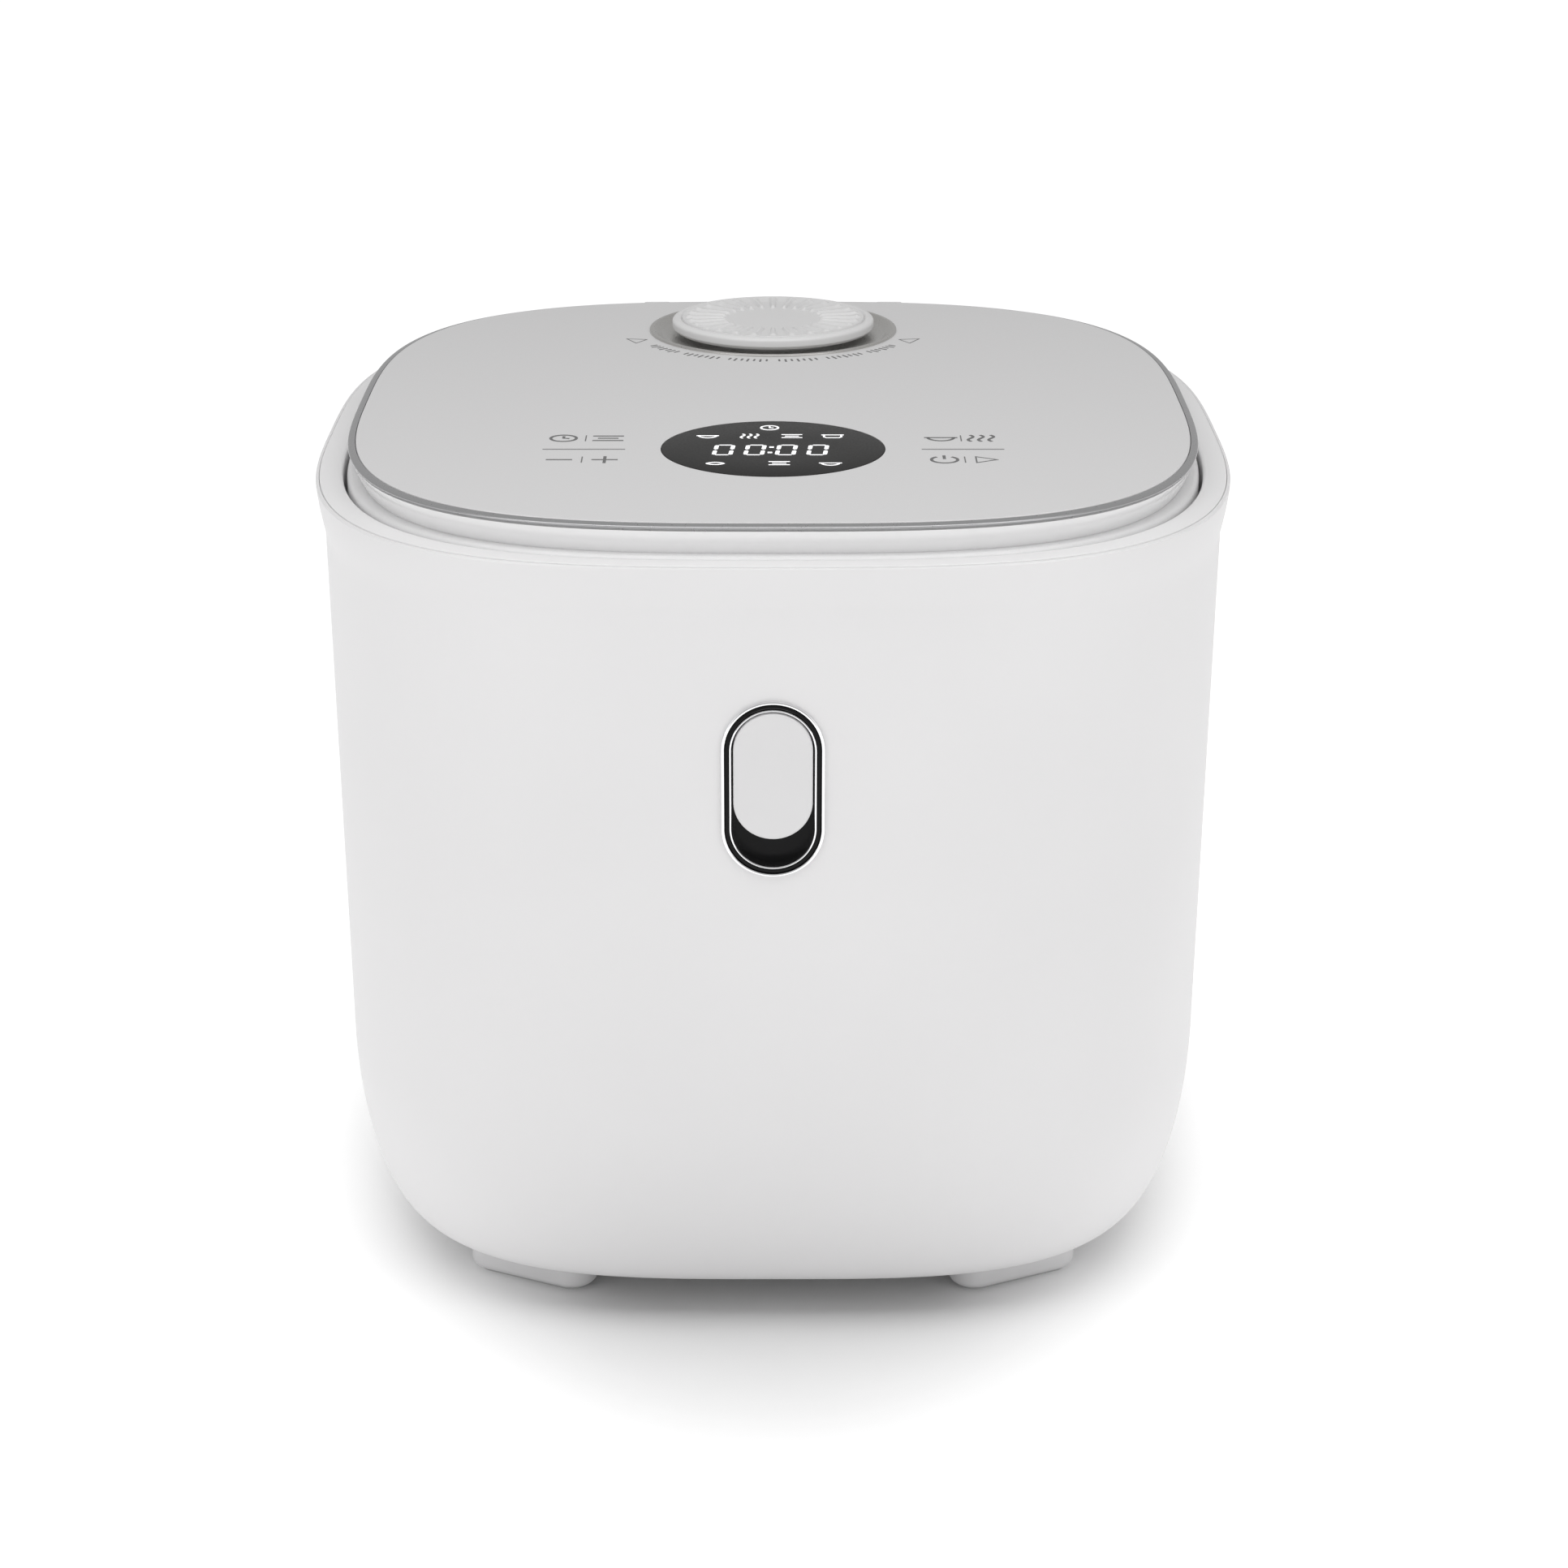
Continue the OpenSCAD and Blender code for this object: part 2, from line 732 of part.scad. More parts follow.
module terminal_block() {
  color([0.9, 0.9, 0.85])
    block([-13, terminal_y, part_z], [13, terminal_y + terminal_d, part_z + 8]);
}

module heater_leads() {
  color([0.8, 0.2, 0.15])
    for (s = [-1, 1])
      rotate(-90 + s * (element_gap + 3))
        translate([element_ring_r, 0, part_z]) cylinder(r = 1.4, h = heat_z - heat_t - 12 - part_z);
}

// Route of one lead from the inlet, down behind the can and under it to the terminal block
function lead_route(s) = [
  [s * 5, inlet_in - 0.1, inlet_z],
  [s * 5, inlet_in - 4, inlet_z],
  [s * 12, inlet_in - 5, inlet_z - 14],
  [s * 22, can_r + 8, can_floor_z + 14],
  [s * 28, can_r + 4, can_floor_z - 6],
  [s * 30, can_r - 26, board_z + 5],
  [s * 29, 0, board_z + 3],
  [s * 18, terminal_y + terminal_d + 16, part_z + 4],
  [s * 6, terminal_y + terminal_d + 7, part_z + 4],
  [s * 6, terminal_y + terminal_d + 0.1, part_z + 4]
];

module mains_leads() {
  color([0.35, 0.25, 0.2]) for (s = [-1, 1]) wire(lead_route(s), 1.5);
}

module ac_inlet() {
  color([0.12, 0.12, 0.12])
    on_back_wall(inlet_z)
      difference() {
        union() {
          block([-16.5, 0, -12.5], [16.5, 1.6, 12.5]);
          block([-13.6, -inlet_body_d, -10], [13.6, eps, 10]);
        }
        block([-12.2, -15.5, -8.3], [12.2, 2, 8.3]);
      }
}

module inlet_pins() {
  color("silver")
    on_back_wall(inlet_z)
      for (p = [[-7, -1.5], [0, 2.5], [7, -1.5]])
        block([p[0] - 1, -15.5, p[1] - 2], [p[0] + 1, -4.5, p[1] + 2]);
}

module dew_collector() {
  half = dew_w / 2;
  color([0.9, 0.9, 0.9])
    difference() {
      block([-half, dew_y0, dew_z], [half, dew_y1, dew_z + dew_h]);
      block(
        [-half + dew_wall, dew_y0 + dew_wall, dew_z + dew_wall],
        [half - dew_wall, dew_y1 - dew_wall - 0.7, dew_z + dew_h + 1]
      );
    }
}

// ---------- hinge, release and catch ----------

module hinge_pin() {
  color("silver") rod_x(-ear_x - ear_w, ear_x + ear_w, hinge_y, hinge_z, pin_r);
}

module hinge_springs() {
  h = ear_x - knuckle_x - 1;
  color("silver")
    for (s = [-1, 1])
      translate([s * (knuckle_x + 0.6) + (s < 0 ? -h : 0), hinge_y, hinge_z])
        rotate([0, 90, 0]) coil(pin_r + 0.85, 0.4, 6, h);
}

module release_bezel() {
  color([0.85, 0.85, 0.87])
    on_front_wall(release_z)
      difference() {
        union() {
          capsule(bezel_w, bezel_h, -0.9, 0);
          capsule(bezel_w - 0.8, bezel_h - 0.8, -eps, 3);
        }
        capsule(well_w, well_h, -2, 4);
      }
}

module release_well() {
  back = well_floor + well_floor_t;
  color([0.06, 0.06, 0.06])
    on_front_wall(release_z)
      difference() {
        union() {
          capsule(well_w - 2 * fit_gap, well_h - 2 * fit_gap, -0.5, back);
          for (s = [-1, 1])
            block([s * rail_x - 1, back - eps, spring_low - 2], [s * rail_x + 1, slider_y + 5, rail_top]);
          block(
            [-rail_x - 1, slider_y + slider_t + 0.4, rail_top - 2.5],
            [rail_x + 1, slider_y + slider_t + 2.4, rail_top]
          );
          block([-rail_x - 1, back - eps, spring_low - 2], [rail_x + 1, spring_y + 3.6, spring_low]);
        }
        capsule(trim_w, trim_h, -2, well_floor);
        block([-3.3, well_floor - 1, button_z - 6 - button_travel], [3.3, back + 1, button_z + 6.5]);
      }
}

module release_trim() {
  color([0.85, 0.85, 0.87])
    on_front_wall(release_z)
      difference() {
        capsule(trim_w - 2 * fit_gap, trim_h - 2 * fit_gap, -0.9, well_floor);
        capsule(trim_w - 2 * trim_t, trim_h - 2 * trim_t, -2, well_floor + 1);
      }
}

module release_button() {
  color([0.88, 0.88, 0.88])
    on_front_wall(release_z) {
      translate([0, 0, button_z]) capsule(button_w, button_h, -1.3, well_floor - 0.3);
      block([-2.8, well_floor - 0.3 - eps, button_z - 5.5], [2.8, slider_y, button_z + 6]);
    }
}

// The wedge on the slider's back pushes the catch's roller back as the slider goes down
module release_slider() {
  slope = roller_throw / button_travel;
  roller_y = catch_y + wall_y(release_z) + (roller_z - release_z) * tan(draft);
  rest_y = roller_y - (roller_r + roller_gap) * sqrt(1 + slope * slope);
  roller_level = roller_z - release_z;
  wedge_top = roller_level + button_travel + 1;
  back = slider_y + slider_t;
  color([0.8, 0.8, 0.8])
    on_front_wall(release_z)
      union() {
        block([-8.5, slider_y, slider_low], [8.5, back, slider_high]);
        block([-8.5, slider_y, slider_low], [8.5, spring_y + 3.4, slider_low + 1.6]);
        translate([-3, 0, 0])
          rotate([90, 0, 90]) linear_extrude(6)
            polygon([
              [back - eps, roller_level - (rest_y - back) / slope],
              [rest_y + slope * (wedge_top - roller_level), wedge_top],
              [back - eps, wedge_top]
            ]);
      }
}

module release_spring() {
  color("silver")
    on_front_wall(release_z)
      translate([0, spring_y, spring_low]) coil(2.4, 0.45, 6, slider_low - spring_low);
}

module catch_lever() {
  color([0.7, 0.7, 0.7])
    difference() {
      union() {
        rod_x(-catch_w / 2, catch_w / 2, catch_y, catch_z, pin_r + 2);
        block([-catch_w / 2, catch_y - 1.4, catch_z], [catch_w / 2, catch_y + 1, nose_z + 2.5]);
        block([-catch_w / 2, catch_y, nose_z], [catch_w / 2, striker_lip_y - 1.1, nose_z + 2.5]);
        block([-3, catch_y + arm_set_back, roller_z], [3, catch_y + arm_set_back + arm_t, catch_z]);
        rod_x(-3, 3, catch_y, roller_z, roller_r);
      }
      rod_x(-catch_w / 2 - 1, catch_w / 2 + 1, catch_y, catch_z, pin_r + bore_gap);
    }
}

module catch_pin() {
  half = catch_w / 2 + ear_gap + 3;
  color("silver") rod_x(-half, half, catch_y, catch_z, pin_r);
}

// ---------- lid ----------

module lid_shell() {
  wall = 2;
  color([0.92, 0.92, 0.92])
    difference() {
      union() {
        ring_loft([
          [skirt_z, skirt_in, rim_exp], [deck_z - 1.5, skirt_in, rim_exp],
          [deck_z - 0.5, skirt_in + 0.4, rim_exp],
          [deck_z, skirt_in + 1.5, rim_exp], [deck_z, skirt_in + 3.5, rim_exp],
          [deck_z - deck_t, skirt_in + wall, rim_exp], [skirt_z, skirt_in + wall, rim_exp]
        ]);
        plate(skirt_in + wall, deck_z - deck_t, deck_t);
        rod_x(-knuckle_x, knuckle_x, hinge_y, hinge_z, barrel_r);
        block(
          [-knuckle_x, half_d - hole_in - 9, deck_z - 1],
          [knuckle_x, half_d - skirt_in - wall, hinge_z + 1.4]
        );
        block([-knuckle_x, half_d - skirt_in - wall - 1, rim_z + 0.6], [knuckle_x, hinge_y, hinge_z + 1.4]);
        for (s = [-1, 1])
          translate([s * 60, -display_y, deck_z - eps]) cylinder(r = 3, h = display_board_z - deck_z + eps);
        at_corners(lid_post)
          translate([0, 0, skirt_z]) cylinder(r = 3.5, h = deck_z - deck_t - skirt_z + eps);
      }
      translate([0, vent_y, deck_z - deck_t - 1]) cylinder(r = well_r, h = deck_t + 2);
      rod_x(-knuckle_x - 1, knuckle_x + 1, hinge_y, hinge_z, pin_r + bore_gap);
      at_corners(lid_post) translate([0, 0, skirt_z - 1]) cylinder(r = 1.3, h = 10);
    }
}

module lid_side_ring() {
  color([0.95, 0.95, 0.96])
    difference() {
      ring_loft([
        [deck_z, edge_in + 3.4, rim_exp], [lid_z - 1.9, edge_in + 0.8, rim_exp],
        [lid_z - 1.9, edge_in + 2.2, rim_exp], [deck_z, edge_in + 4.8, rim_exp]
      ]);
      block([-knuckle_x - 0.3, 0, deck_z - 1], [knuckle_x + 0.3, half_d, lid_z]);
    }
}

module lid_band() {
  color([0.66, 0.66, 0.67])
    ring_loft([
      [lid_z - 1.9, edge_in + 0.8, rim_exp], [lid_z - 0.7, edge_in, rim_exp],
      [lid_z - 0.15, edge_in + band_w, rim_exp], [lid_z - 1.9, edge_in + band_w, rim_exp]
    ]);
}

module lid_top_plate() {
  color([0.8, 0.8, 0.81])
    difference() {
      plate(plate_in, lid_z - plate_t, plate_t);
      translate([0, -display_y, lid_z - plate_t - 1]) cylinder(r = display_r + 0.15, h = plate_t + 2);
      translate([0, vent_y, lid_z - plate_t - 1]) cylinder(r = vent_r - 1.6, h = plate_t + 2);
    }
}

module display_lens() {
  color([0.05, 0.05, 0.05])
    translate([0, -display_y, lid_z + 0.1 - lens_t]) cylinder(r = display_r, h = lens_t);
}

module digit_module() {
  z0 = display_board_z + display_board_t;
  color([0.9, 0.9, 0.9])
    block([-17, -display_y - 6, z0], [17, -display_y + 6, lid_z + 0.1 - lens_t]);
}

module display_board() {
  color([0.2, 0.45, 0.25])
    block([-70, -display_y - 24, display_board_z], [70, -display_y + 24, display_board_z + display_board_t]);
}

module touch_pads() {
  z0 = display_board_z + display_board_t;
  color([0.3, 0.3, 0.3])
    for (sx = [-1, 1], dy = [-11, 11])
      translate([sx * 49.5, -display_y + dy, z0]) cylinder(r = 5, h = lid_z - plate_t - z0);
}

module vent_bezel() {
  foot = deck_z - lid_z;
  color([0.75, 0.75, 0.74])
    translate([0, vent_y, lid_z])
      rotate_extrude($fn = 96) polygon([
        [vent_r, 0], [vent_r, 0.3], [vent_r - 0.4, 0.6], [vent_r - 1.3, 0.6], [vent_r - 3.4, -0.7],
        [cap_r - 1, -1.4], [well_r + 1.5, -1.6], [well_r, -1.6], [well_r, foot], [well_r + 1.2, foot],
        [well_r + 1.2, -2.8], [vent_r - 4.4, -2.4], [vent_r - 1.8, -1.0], [vent_r - 1.8, 0]
      ]);
}

module steam_cap() {
  rib_count = 28;
  color([0.93, 0.93, 0.93])
    translate([0, vent_y, lid_z])
      union() {
        rotate_extrude($fn = 96) polygon([
          [0, 0.4], [neck_r - 1.5, 0.4], [neck_r - 1.5, -7], [neck_r, -7], [neck_r, 0.4], [cap_r - 1, 0.4],
          [cap_r, 1.2], [cap_r, cap_rise - 1.6], [cap_r - 0.5, cap_rise - 0.7], [cap_r - 1.6, cap_rise - 0.1],
          [cap_r - 2.6, cap_rise], [cap_r - 5, cap_rise - 0.4],
          [cap_r * 0.45, cap_rise - 0.9], [0, cap_rise - 0.9]
        ]);
        for (k = [0 : rib_count - 1])
          rotate(k * 360 / rib_count)
            translate([cap_r * 0.5, -0.5, cap_rise - 1.2]) cube([cap_r * 0.38, 1, 1]);
      }
}

module steam_valve_body() {
  cup_r = neck_r - 0.8;
  top = lid_z - 7;
  color([0.85, 0.85, 0.85])
    difference() {
      union() {
        translate([0, vent_y, valve_z]) cylinder(r = cup_r, h = top - valve_z);
        translate([0, tube_y, inner_lid_z - 1]) cylinder(r = tube_r, h = valve_z - inner_lid_z + 2);
      }
      translate([0, vent_y, valve_z + 1.5]) cylinder(r = cup_r - 1.5, h = top - valve_z);
      translate([0, tube_y, inner_lid_z - 2]) cylinder(r = tube_r - 1.5, h = valve_z - inner_lid_z + 5);
    }
}

module vent_seal() {
  color([0.85, 0.85, 0.85])
    translate([0, tube_y, skirt_z])
      difference() {
        cylinder(r = tube_r + 3.5, h = 3);
        translate([0, 0, -1]) cylinder(r = tube_r + 0.3, h = 5);
      }
}

module lid_liner() {
  color([0.85, 0.85, 0.85])
    difference() {
      plate(skirt_in + 0.5, skirt_z - liner_t, liner_t);
      translate([0, tube_y, skirt_z - liner_t - 1]) cylinder(r = tube_r + 0.5, h = liner_t + 2);
      at_corners(lid_post)
        translate([0, 0, skirt_z - liner_t - 1]) cylinder(r = 1.5, h = liner_t + 2);
    }
}

module inner_lid_plate() {
  under = skirt_z - liner_t;
  color([0.8, 0.8, 0.82])
    difference() {
      rotate_extrude($fn = 120) polygon([
        [0, inner_lid_z], [inner_lid_r, inner_lid_z], [inner_lid_r, inner_lid_z + 1.2],
        [12, inner_lid_z + 1.2], [12, under], [0, under]
      ]);
      translate([0, tube_y, inner_lid_z - 1]) cylinder(r = tube_r + 0.5, h = 6);
    }
}

module lid_gasket() {
  under = skirt_z - liner_t;
  color([0.8, 0.8, 0.8])
    rotate_extrude($fn = 120) polygon([
      [inner_lid_r, inner_lid_z - 0.6], [inner_lid_r + 1.2, inner_lid_z - 0.6],
      [inner_lid_r + 1.2, shelf_z + pot_flange_t + 0.3], [pot_flange_r - 1.5, shelf_z + pot_flange_t + 0.3],
      [pot_flange_r - 1.5, under], [inner_lid_r - 1, under],
      [inner_lid_r - 1, inner_lid_z + 1.2], [inner_lid_r, inner_lid_z + 1.2]
    ]);
}

module lid_striker() {
  top = skirt_z - liner_t;
  color("silver")
    union() {
      block([-9, striker_lip_y + 1, top - 1.4], [9, striker_lip_y + 8, top]);
      block([-5, striker_lip_y + 2.5, nose_z - 3], [5, striker_lip_y + 5, top]);
      block([-5, striker_lip_y, nose_z - 3], [5, striker_lip_y + 5, nose_z - 0.5]);
    }
}

module lid_screws() {
  z = skirt_z - liner_t;
  color("silver")
    at_corners(lid_post) {
      translate([0, 0, z - 1.4]) cylinder(r = 2.8, h = 1.4);
      translate([0, 0, z - eps]) cylinder(r = 1.2, h = 9);
    }
}

body_shell();
rim_frame();
base_plate();
foot_pads();
base_screws();
inner_can();
can_screws();
heating_plate();
heater_element();
plate_spacers();
plate_screws();
sensor_cup();
sensor_cap();
sensor_spring();
fuse_clip();
thermal_fuse();
inner_pot();
sugar_basket();
power_board();
transformer();
relay();
capacitors();
terminal_block();
heater_leads();
mains_leads();
ac_inlet();
inlet_pins();
dew_collector();
hinge_pin();
hinge_springs();
release_bezel();
release_well();
release_trim();
release_button();
release_slider();
release_spring();
catch_lever();
catch_pin();
lid_shell();
lid_side_ring();
lid_band();
lid_top_plate();
display_lens();
digit_module();
display_board();
touch_pads();
vent_bezel();
vent_seal();
lid_liner();
inner_lid_plate();
lid_gasket();
lid_striker();
lid_screws();
steam_cap();
steam_valve_body();
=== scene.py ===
# %% [markdown]
# # A countertop rice cooker
#
# The cooker is a soft, square pot of white plastic with a hinged lid. The frame that is loaded
# here holds every part at its real size and place. This lesson remakes the parts that show from
# outside as smooth surfaces with finishes of their own, and sets up a plain studio. Nothing is
# moved: each new surface stands exactly where the frame's own part stands. The parts inside still
# have the flat materials that the frame brings.
# %% Load the frame
import json
import math

import bmesh
import bpy
import numpy as np
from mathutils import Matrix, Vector


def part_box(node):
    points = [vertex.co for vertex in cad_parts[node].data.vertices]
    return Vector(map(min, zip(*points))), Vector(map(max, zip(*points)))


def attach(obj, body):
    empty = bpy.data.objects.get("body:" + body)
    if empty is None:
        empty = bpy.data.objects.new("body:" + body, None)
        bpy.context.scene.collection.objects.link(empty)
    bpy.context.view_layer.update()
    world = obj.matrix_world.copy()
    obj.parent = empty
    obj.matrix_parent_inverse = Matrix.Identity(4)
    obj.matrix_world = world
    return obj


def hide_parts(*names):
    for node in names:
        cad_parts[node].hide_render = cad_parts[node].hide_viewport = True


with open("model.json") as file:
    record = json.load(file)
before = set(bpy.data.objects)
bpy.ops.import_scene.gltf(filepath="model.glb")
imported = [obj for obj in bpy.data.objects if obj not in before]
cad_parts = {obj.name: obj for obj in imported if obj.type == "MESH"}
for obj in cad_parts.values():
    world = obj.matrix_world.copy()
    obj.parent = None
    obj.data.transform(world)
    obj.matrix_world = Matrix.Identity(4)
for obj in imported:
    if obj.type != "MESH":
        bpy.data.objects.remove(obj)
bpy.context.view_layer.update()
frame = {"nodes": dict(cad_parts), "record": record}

# %% [markdown]
# ## Sizes
#
# All sizes below are in millimetres, because that is how the parts are thought of, and a mesh is
# scaled to metres when it is made. The places come from the frame's own parts, so that a changed
# frame changes the surfaces with it.
# %% Sizes read from the frame
MM = 0.001
SHELL_UP, SHELL_DOWN = 1.0, 0.3  # the casing starts above the base's underside and ends below the rim
FLANGE_T = 1.6
CORNERS = [np.array((sx, sy)) for sx in (-1, 1) for sy in (-1, 1)]  # signs of the four quarters


def corners(node):
    """Lowest and highest corner of a part of the frame, in millimetres."""
    low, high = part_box(node)
    return np.array(low) / MM, np.array(high) / MM


shell_low, shell_high = corners("body_shell")
half_w, half_d = shell_high[0], shell_high[1]
base_z = shell_low[2] - SHELL_UP
rim_z = shell_high[2] + SHELL_DOWN
lid_z = corners("lid_top_plate")[1][2]
deck_z = corners("lid_side_ring")[0][2]
pot_low, pot_high = corners("inner_pot")
shelf_z = pot_high[2] - FLANGE_T
print(f"rim {2 * half_w:.1f} x {2 * half_d:.1f}")
print(f"heights: rim {rim_z:.1f}, lid {lid_z:.1f}, shelf {shelf_z:.1f}")

# %% [markdown]
# ## The outline
#
# Seen from above the cooker is a superellipse: a rectangle whose sides bulge and whose corners are
# wide curves. In polar form its distance from the axis is one short formula, and points at equal
# angles lie at nearly equal distances along it, which keeps every grid even.
# %% Outline and wall formulas
ROUND = 384
AROUND = np.arange(ROUND) * 2 * np.pi / ROUND
RIM_POWER, WALL_POWER = 3.1, 3.4
FLARE, FLARE_H, DRAFT = 2.8, 11.5, math.radians(0.95)
ROUND_H, ROUND_W, WALL_T = 52.0, 16.0, 2.2
flare_z = rim_z - FLARE_H
round_z = base_z + ROUND_H
flat_in = FLARE + (flare_z - round_z) * math.tan(DRAFT) + ROUND_W


def reach(angles, a, b, power):
    """Distance from the axis to |x/a|^n + |y/b|^n = 1 in the directions of the angles."""
    across, along = np.abs(np.cos(angles)) / a, np.abs(np.sin(angles)) / b
    return (across**power + along**power) ** (-1 / power)


def case_inset(z):
    """How far the casing's face lies inside the rim: a rounded foot, a drafted wall, a flared collar."""
    z = np.asarray(z, float)
    collar = FLARE * np.clip(1 - (z - flare_z) / FLARE_H, 0, 1) ** 1.35
    wall = FLARE + (flare_z - z) * math.tan(DRAFT)
    depth = np.clip((round_z - z) / ROUND_H, 0, 1)
    foot = flat_in - ROUND_W * np.sqrt(1 - depth**2)
    return np.where(z >= flare_z, collar, np.where(z >= round_z, wall, foot))


def case_power(z):
    """Squareness of the casing's outline, which softens in the collar towards the rim's own."""
    up = np.clip((np.asarray(z, float) - flare_z) / FLARE_H, 0, 1)
    return WALL_POWER + (RIM_POWER - WALL_POWER) * up


def wall_reach(x, z, depth=0.0):
    """Distance of the front or back wall from the middle at (x, z), for a face that lies depth inside."""
    inset, power = case_inset(z) + depth, case_power(z)
    a, b = half_w - inset, half_d - inset
    return b * (1 - np.abs(x / a) ** power) ** (1 / power)


print(f"wall half-way up: {wall_reach(0, (base_z + rim_z) / 2):.2f} from the middle")

# %% [markdown]
# ## A mesh from grids
#
# Every surface here is a grid of points: rows of a profile, carried round an outline. The helper
# below gathers grids, the bands between two loops and the flat ends, and hands them to Blender in one
# go. A rectangle of a grid can be left out and filled again with rings that close in on an opening,
# so a window in a wall keeps its smooth, evenly spaced mesh.
# %% Grid helper
class Skin:
    """Points and faces of one mesh, gathered from grids."""

    def __init__(self):
        self.points, self.faces, self.count = [], [], 0

    def add(self, points):
        """Adds points of any grid shape and returns their numbers in that shape."""
        points = np.asarray(points, float)
        ids = np.arange(self.count, self.count + points[..., 0].size).reshape(points.shape[:-1])
        self.points.append(points.reshape(-1, 3))
        self.count += ids.size
        return ids

    def quads(self, ids, wrap=False, ring=True, keep=None):
        """Faces of a grid: wrap joins the last row to the first, ring the last column to the first."""
        low = ids if wrap else ids[:-1]
        high = np.roll(ids, -1, axis=0) if wrap else ids[1:]
        here = low if ring else low[:, :-1]
        there = high if ring else high[:, :-1]
        after_low = np.roll(low, -1, axis=1) if ring else low[:, 1:]
        after_high = np.roll(high, -1, axis=1) if ring else high[:, 1:]
        faces = np.stack([here, after_low, after_high, there], axis=-1)
        self.faces += (faces[keep] if keep is not None else faces.reshape(-1, 4)).tolist()

    def band(self, first, second):
        """Faces between two loops with the same number of points."""
        self.quads(np.stack([first, second]))

    def cap(self, loop):
        """One flat face over a loop."""
        self.faces.append(np.asarray(loop).tolist())

    def where(self, ids):
        """The points that have those numbers."""
        return np.concatenate(self.points)[ids]


def loop_of(ids, rows, cols):
    """Point numbers round a rectangle of a grid, in walking order."""
    rows, cols = np.asarray(rows), np.asarray(cols) % ids.shape[1]
    sides = [
        ids[rows[0], cols[:-1]], ids[rows[:-1], cols[-1]],
        ids[rows[-1], cols[:0:-1]], ids[rows[:0:-1], cols[0]],
    ]
    return np.concatenate(sides)


def rounded_reach(angles, a, b, corner):
    """Distance from the middle to a rectangle of half sizes a, b with rounded corners."""
    c, s = np.abs(np.cos(angles)) + 1e-12, np.abs(np.sin(angles)) + 1e-12
    side = np.minimum(a / c, b / s)
    cx, cy = a - corner, b - corner
    inside = np.clip(corner**2 - (cx * s - cy * c) ** 2, 0, None)
    arc = cx * c + cy * s + np.sqrt(inside)
    in_corner = (side * c > cx) & (side * s > cy)
    return np.where(in_corner, arc, side)


def close_in(skin, loop, plane, middle, edge, lift, rings=5):
    """Rings from a loop to an opening's edge: edge(angles) is the opening's reach about its middle,
    plane says which two coordinates it lies in, and lift turns those back into points."""
    outer = skin.where(loop)[:, plane]
    away = outer - middle
    angles = np.arctan2(away[:, 1], away[:, 0])
    inner = middle + edge(angles)[:, None] * np.stack([np.cos(angles), np.sin(angles)], 1)
    before = loop
    for share in np.linspace(0, 1, rings + 1)[1:]:
        ring = skin.add(lift(outer + share * (inner - outer)))
        skin.band(before, ring)
        before = ring
    return before


def rounded(profile, steps=5):
    """A profile through corners (x, y, radius), each turned into an arc of that radius."""
    p = np.array([c[:2] for c in profile], float)
    out = []
    for k, (x, y, radius) in enumerate(profile):
        back, ahead = p[k - 1] - p[k], p[(k + 1) % len(p)] - p[k]
        if radius == 0:
            out.append(p[k][None])
            continue
        u, v = back / np.linalg.norm(back), ahead / np.linalg.norm(ahead)
        half = math.acos(np.clip(u @ v, -1, 1)) / 2
        run = min(radius / math.tan(half), 0.49 * np.linalg.norm(back), 0.49 * np.linalg.norm(ahead))
        radius = run * math.tan(half)
        middle = p[k] + (u + v) / np.linalg.norm(u + v) * radius / math.sin(half)
        start, end = p[k] + u * run - middle, p[k] + v * run - middle
        sweep = math.pi - 2 * half
        t = np.linspace(0, 1, steps + 1)[:, None]
        out.append(middle + (np.sin((1 - t) * sweep) * start + np.sin(t * sweep) * end) / math.sin(sweep))
    return np.concatenate(out)


# %% Piece helper
def make_piece(name, skin, finish, body, stands_for=(), crease=32):
    """Turns a skin into a Blender object that rides on a body. Doubled points are merged, faces are
    turned outwards, and edges sharper than the crease angle stay crisp."""
    mesh = bpy.data.meshes.new(name)
    mesh.from_pydata((np.concatenate(skin.points) * MM).tolist(), [], skin.faces)
    work = bmesh.new()
    work.from_mesh(mesh)
    bmesh.ops.remove_doubles(work, verts=work.verts, dist=1e-7)
    bmesh.ops.recalc_face_normals(work, faces=work.faces)
    open_edges = sum(1 for e in work.edges if not e.is_manifold)
    work.to_mesh(mesh)
    work.free()
    mesh.polygons.foreach_set("use_smooth", np.ones(len(mesh.polygons), bool))
    mesh.set_sharp_from_angle(angle=math.radians(crease))
    mesh.materials.append(finish)
    piece = bpy.data.objects.new(name, mesh)
    bpy.context.scene.collection.objects.link(piece)
    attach(piece, body)
    if stands_for:
        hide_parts(*stands_for)
    print(f"{name}: {len(mesh.polygons)} faces, open edges {open_edges}")
    return piece


# %% [markdown]
# ## Profiles round the outline, round an axis, and round a capsule
#
# Three kinds of carrying make nearly every part: a profile of (inset, height) goes round the rim's
# outline, a profile of (radius, height) goes round a vertical axis, and a profile of (offset, depth)
# goes round a capsule that lies in the front wall.
# %% Carrying a profile
def outline_grid(profile, power=RIM_POWER, angles=AROUND):
    """Rows round the rim's outline: each profile point is (inset, z), or (inset, z, power)."""
    rows = []
    for station in profile:
        n = station[2] if len(station) > 2 else power
        r = reach(angles, half_w - station[0], half_d - station[0], n)
        rows.append(np.stack([r * np.cos(angles), r * np.sin(angles), np.full_like(r, station[1])], 1))
    return np.array(rows)


def turned_grid(profile, centre=(0.0, 0.0), count=192):
    """Rows round a vertical axis through the centre: each profile point is (radius, z)."""
    profile = np.asarray(profile, float)
    t = np.arange(count) * 2 * np.pi / count
    r, z = profile[:, :1], profile[:, 1:2]
    return np.stack([centre[0] + r * np.cos(t), centre[1] + r * np.sin(t), z + 0 * t], -1)


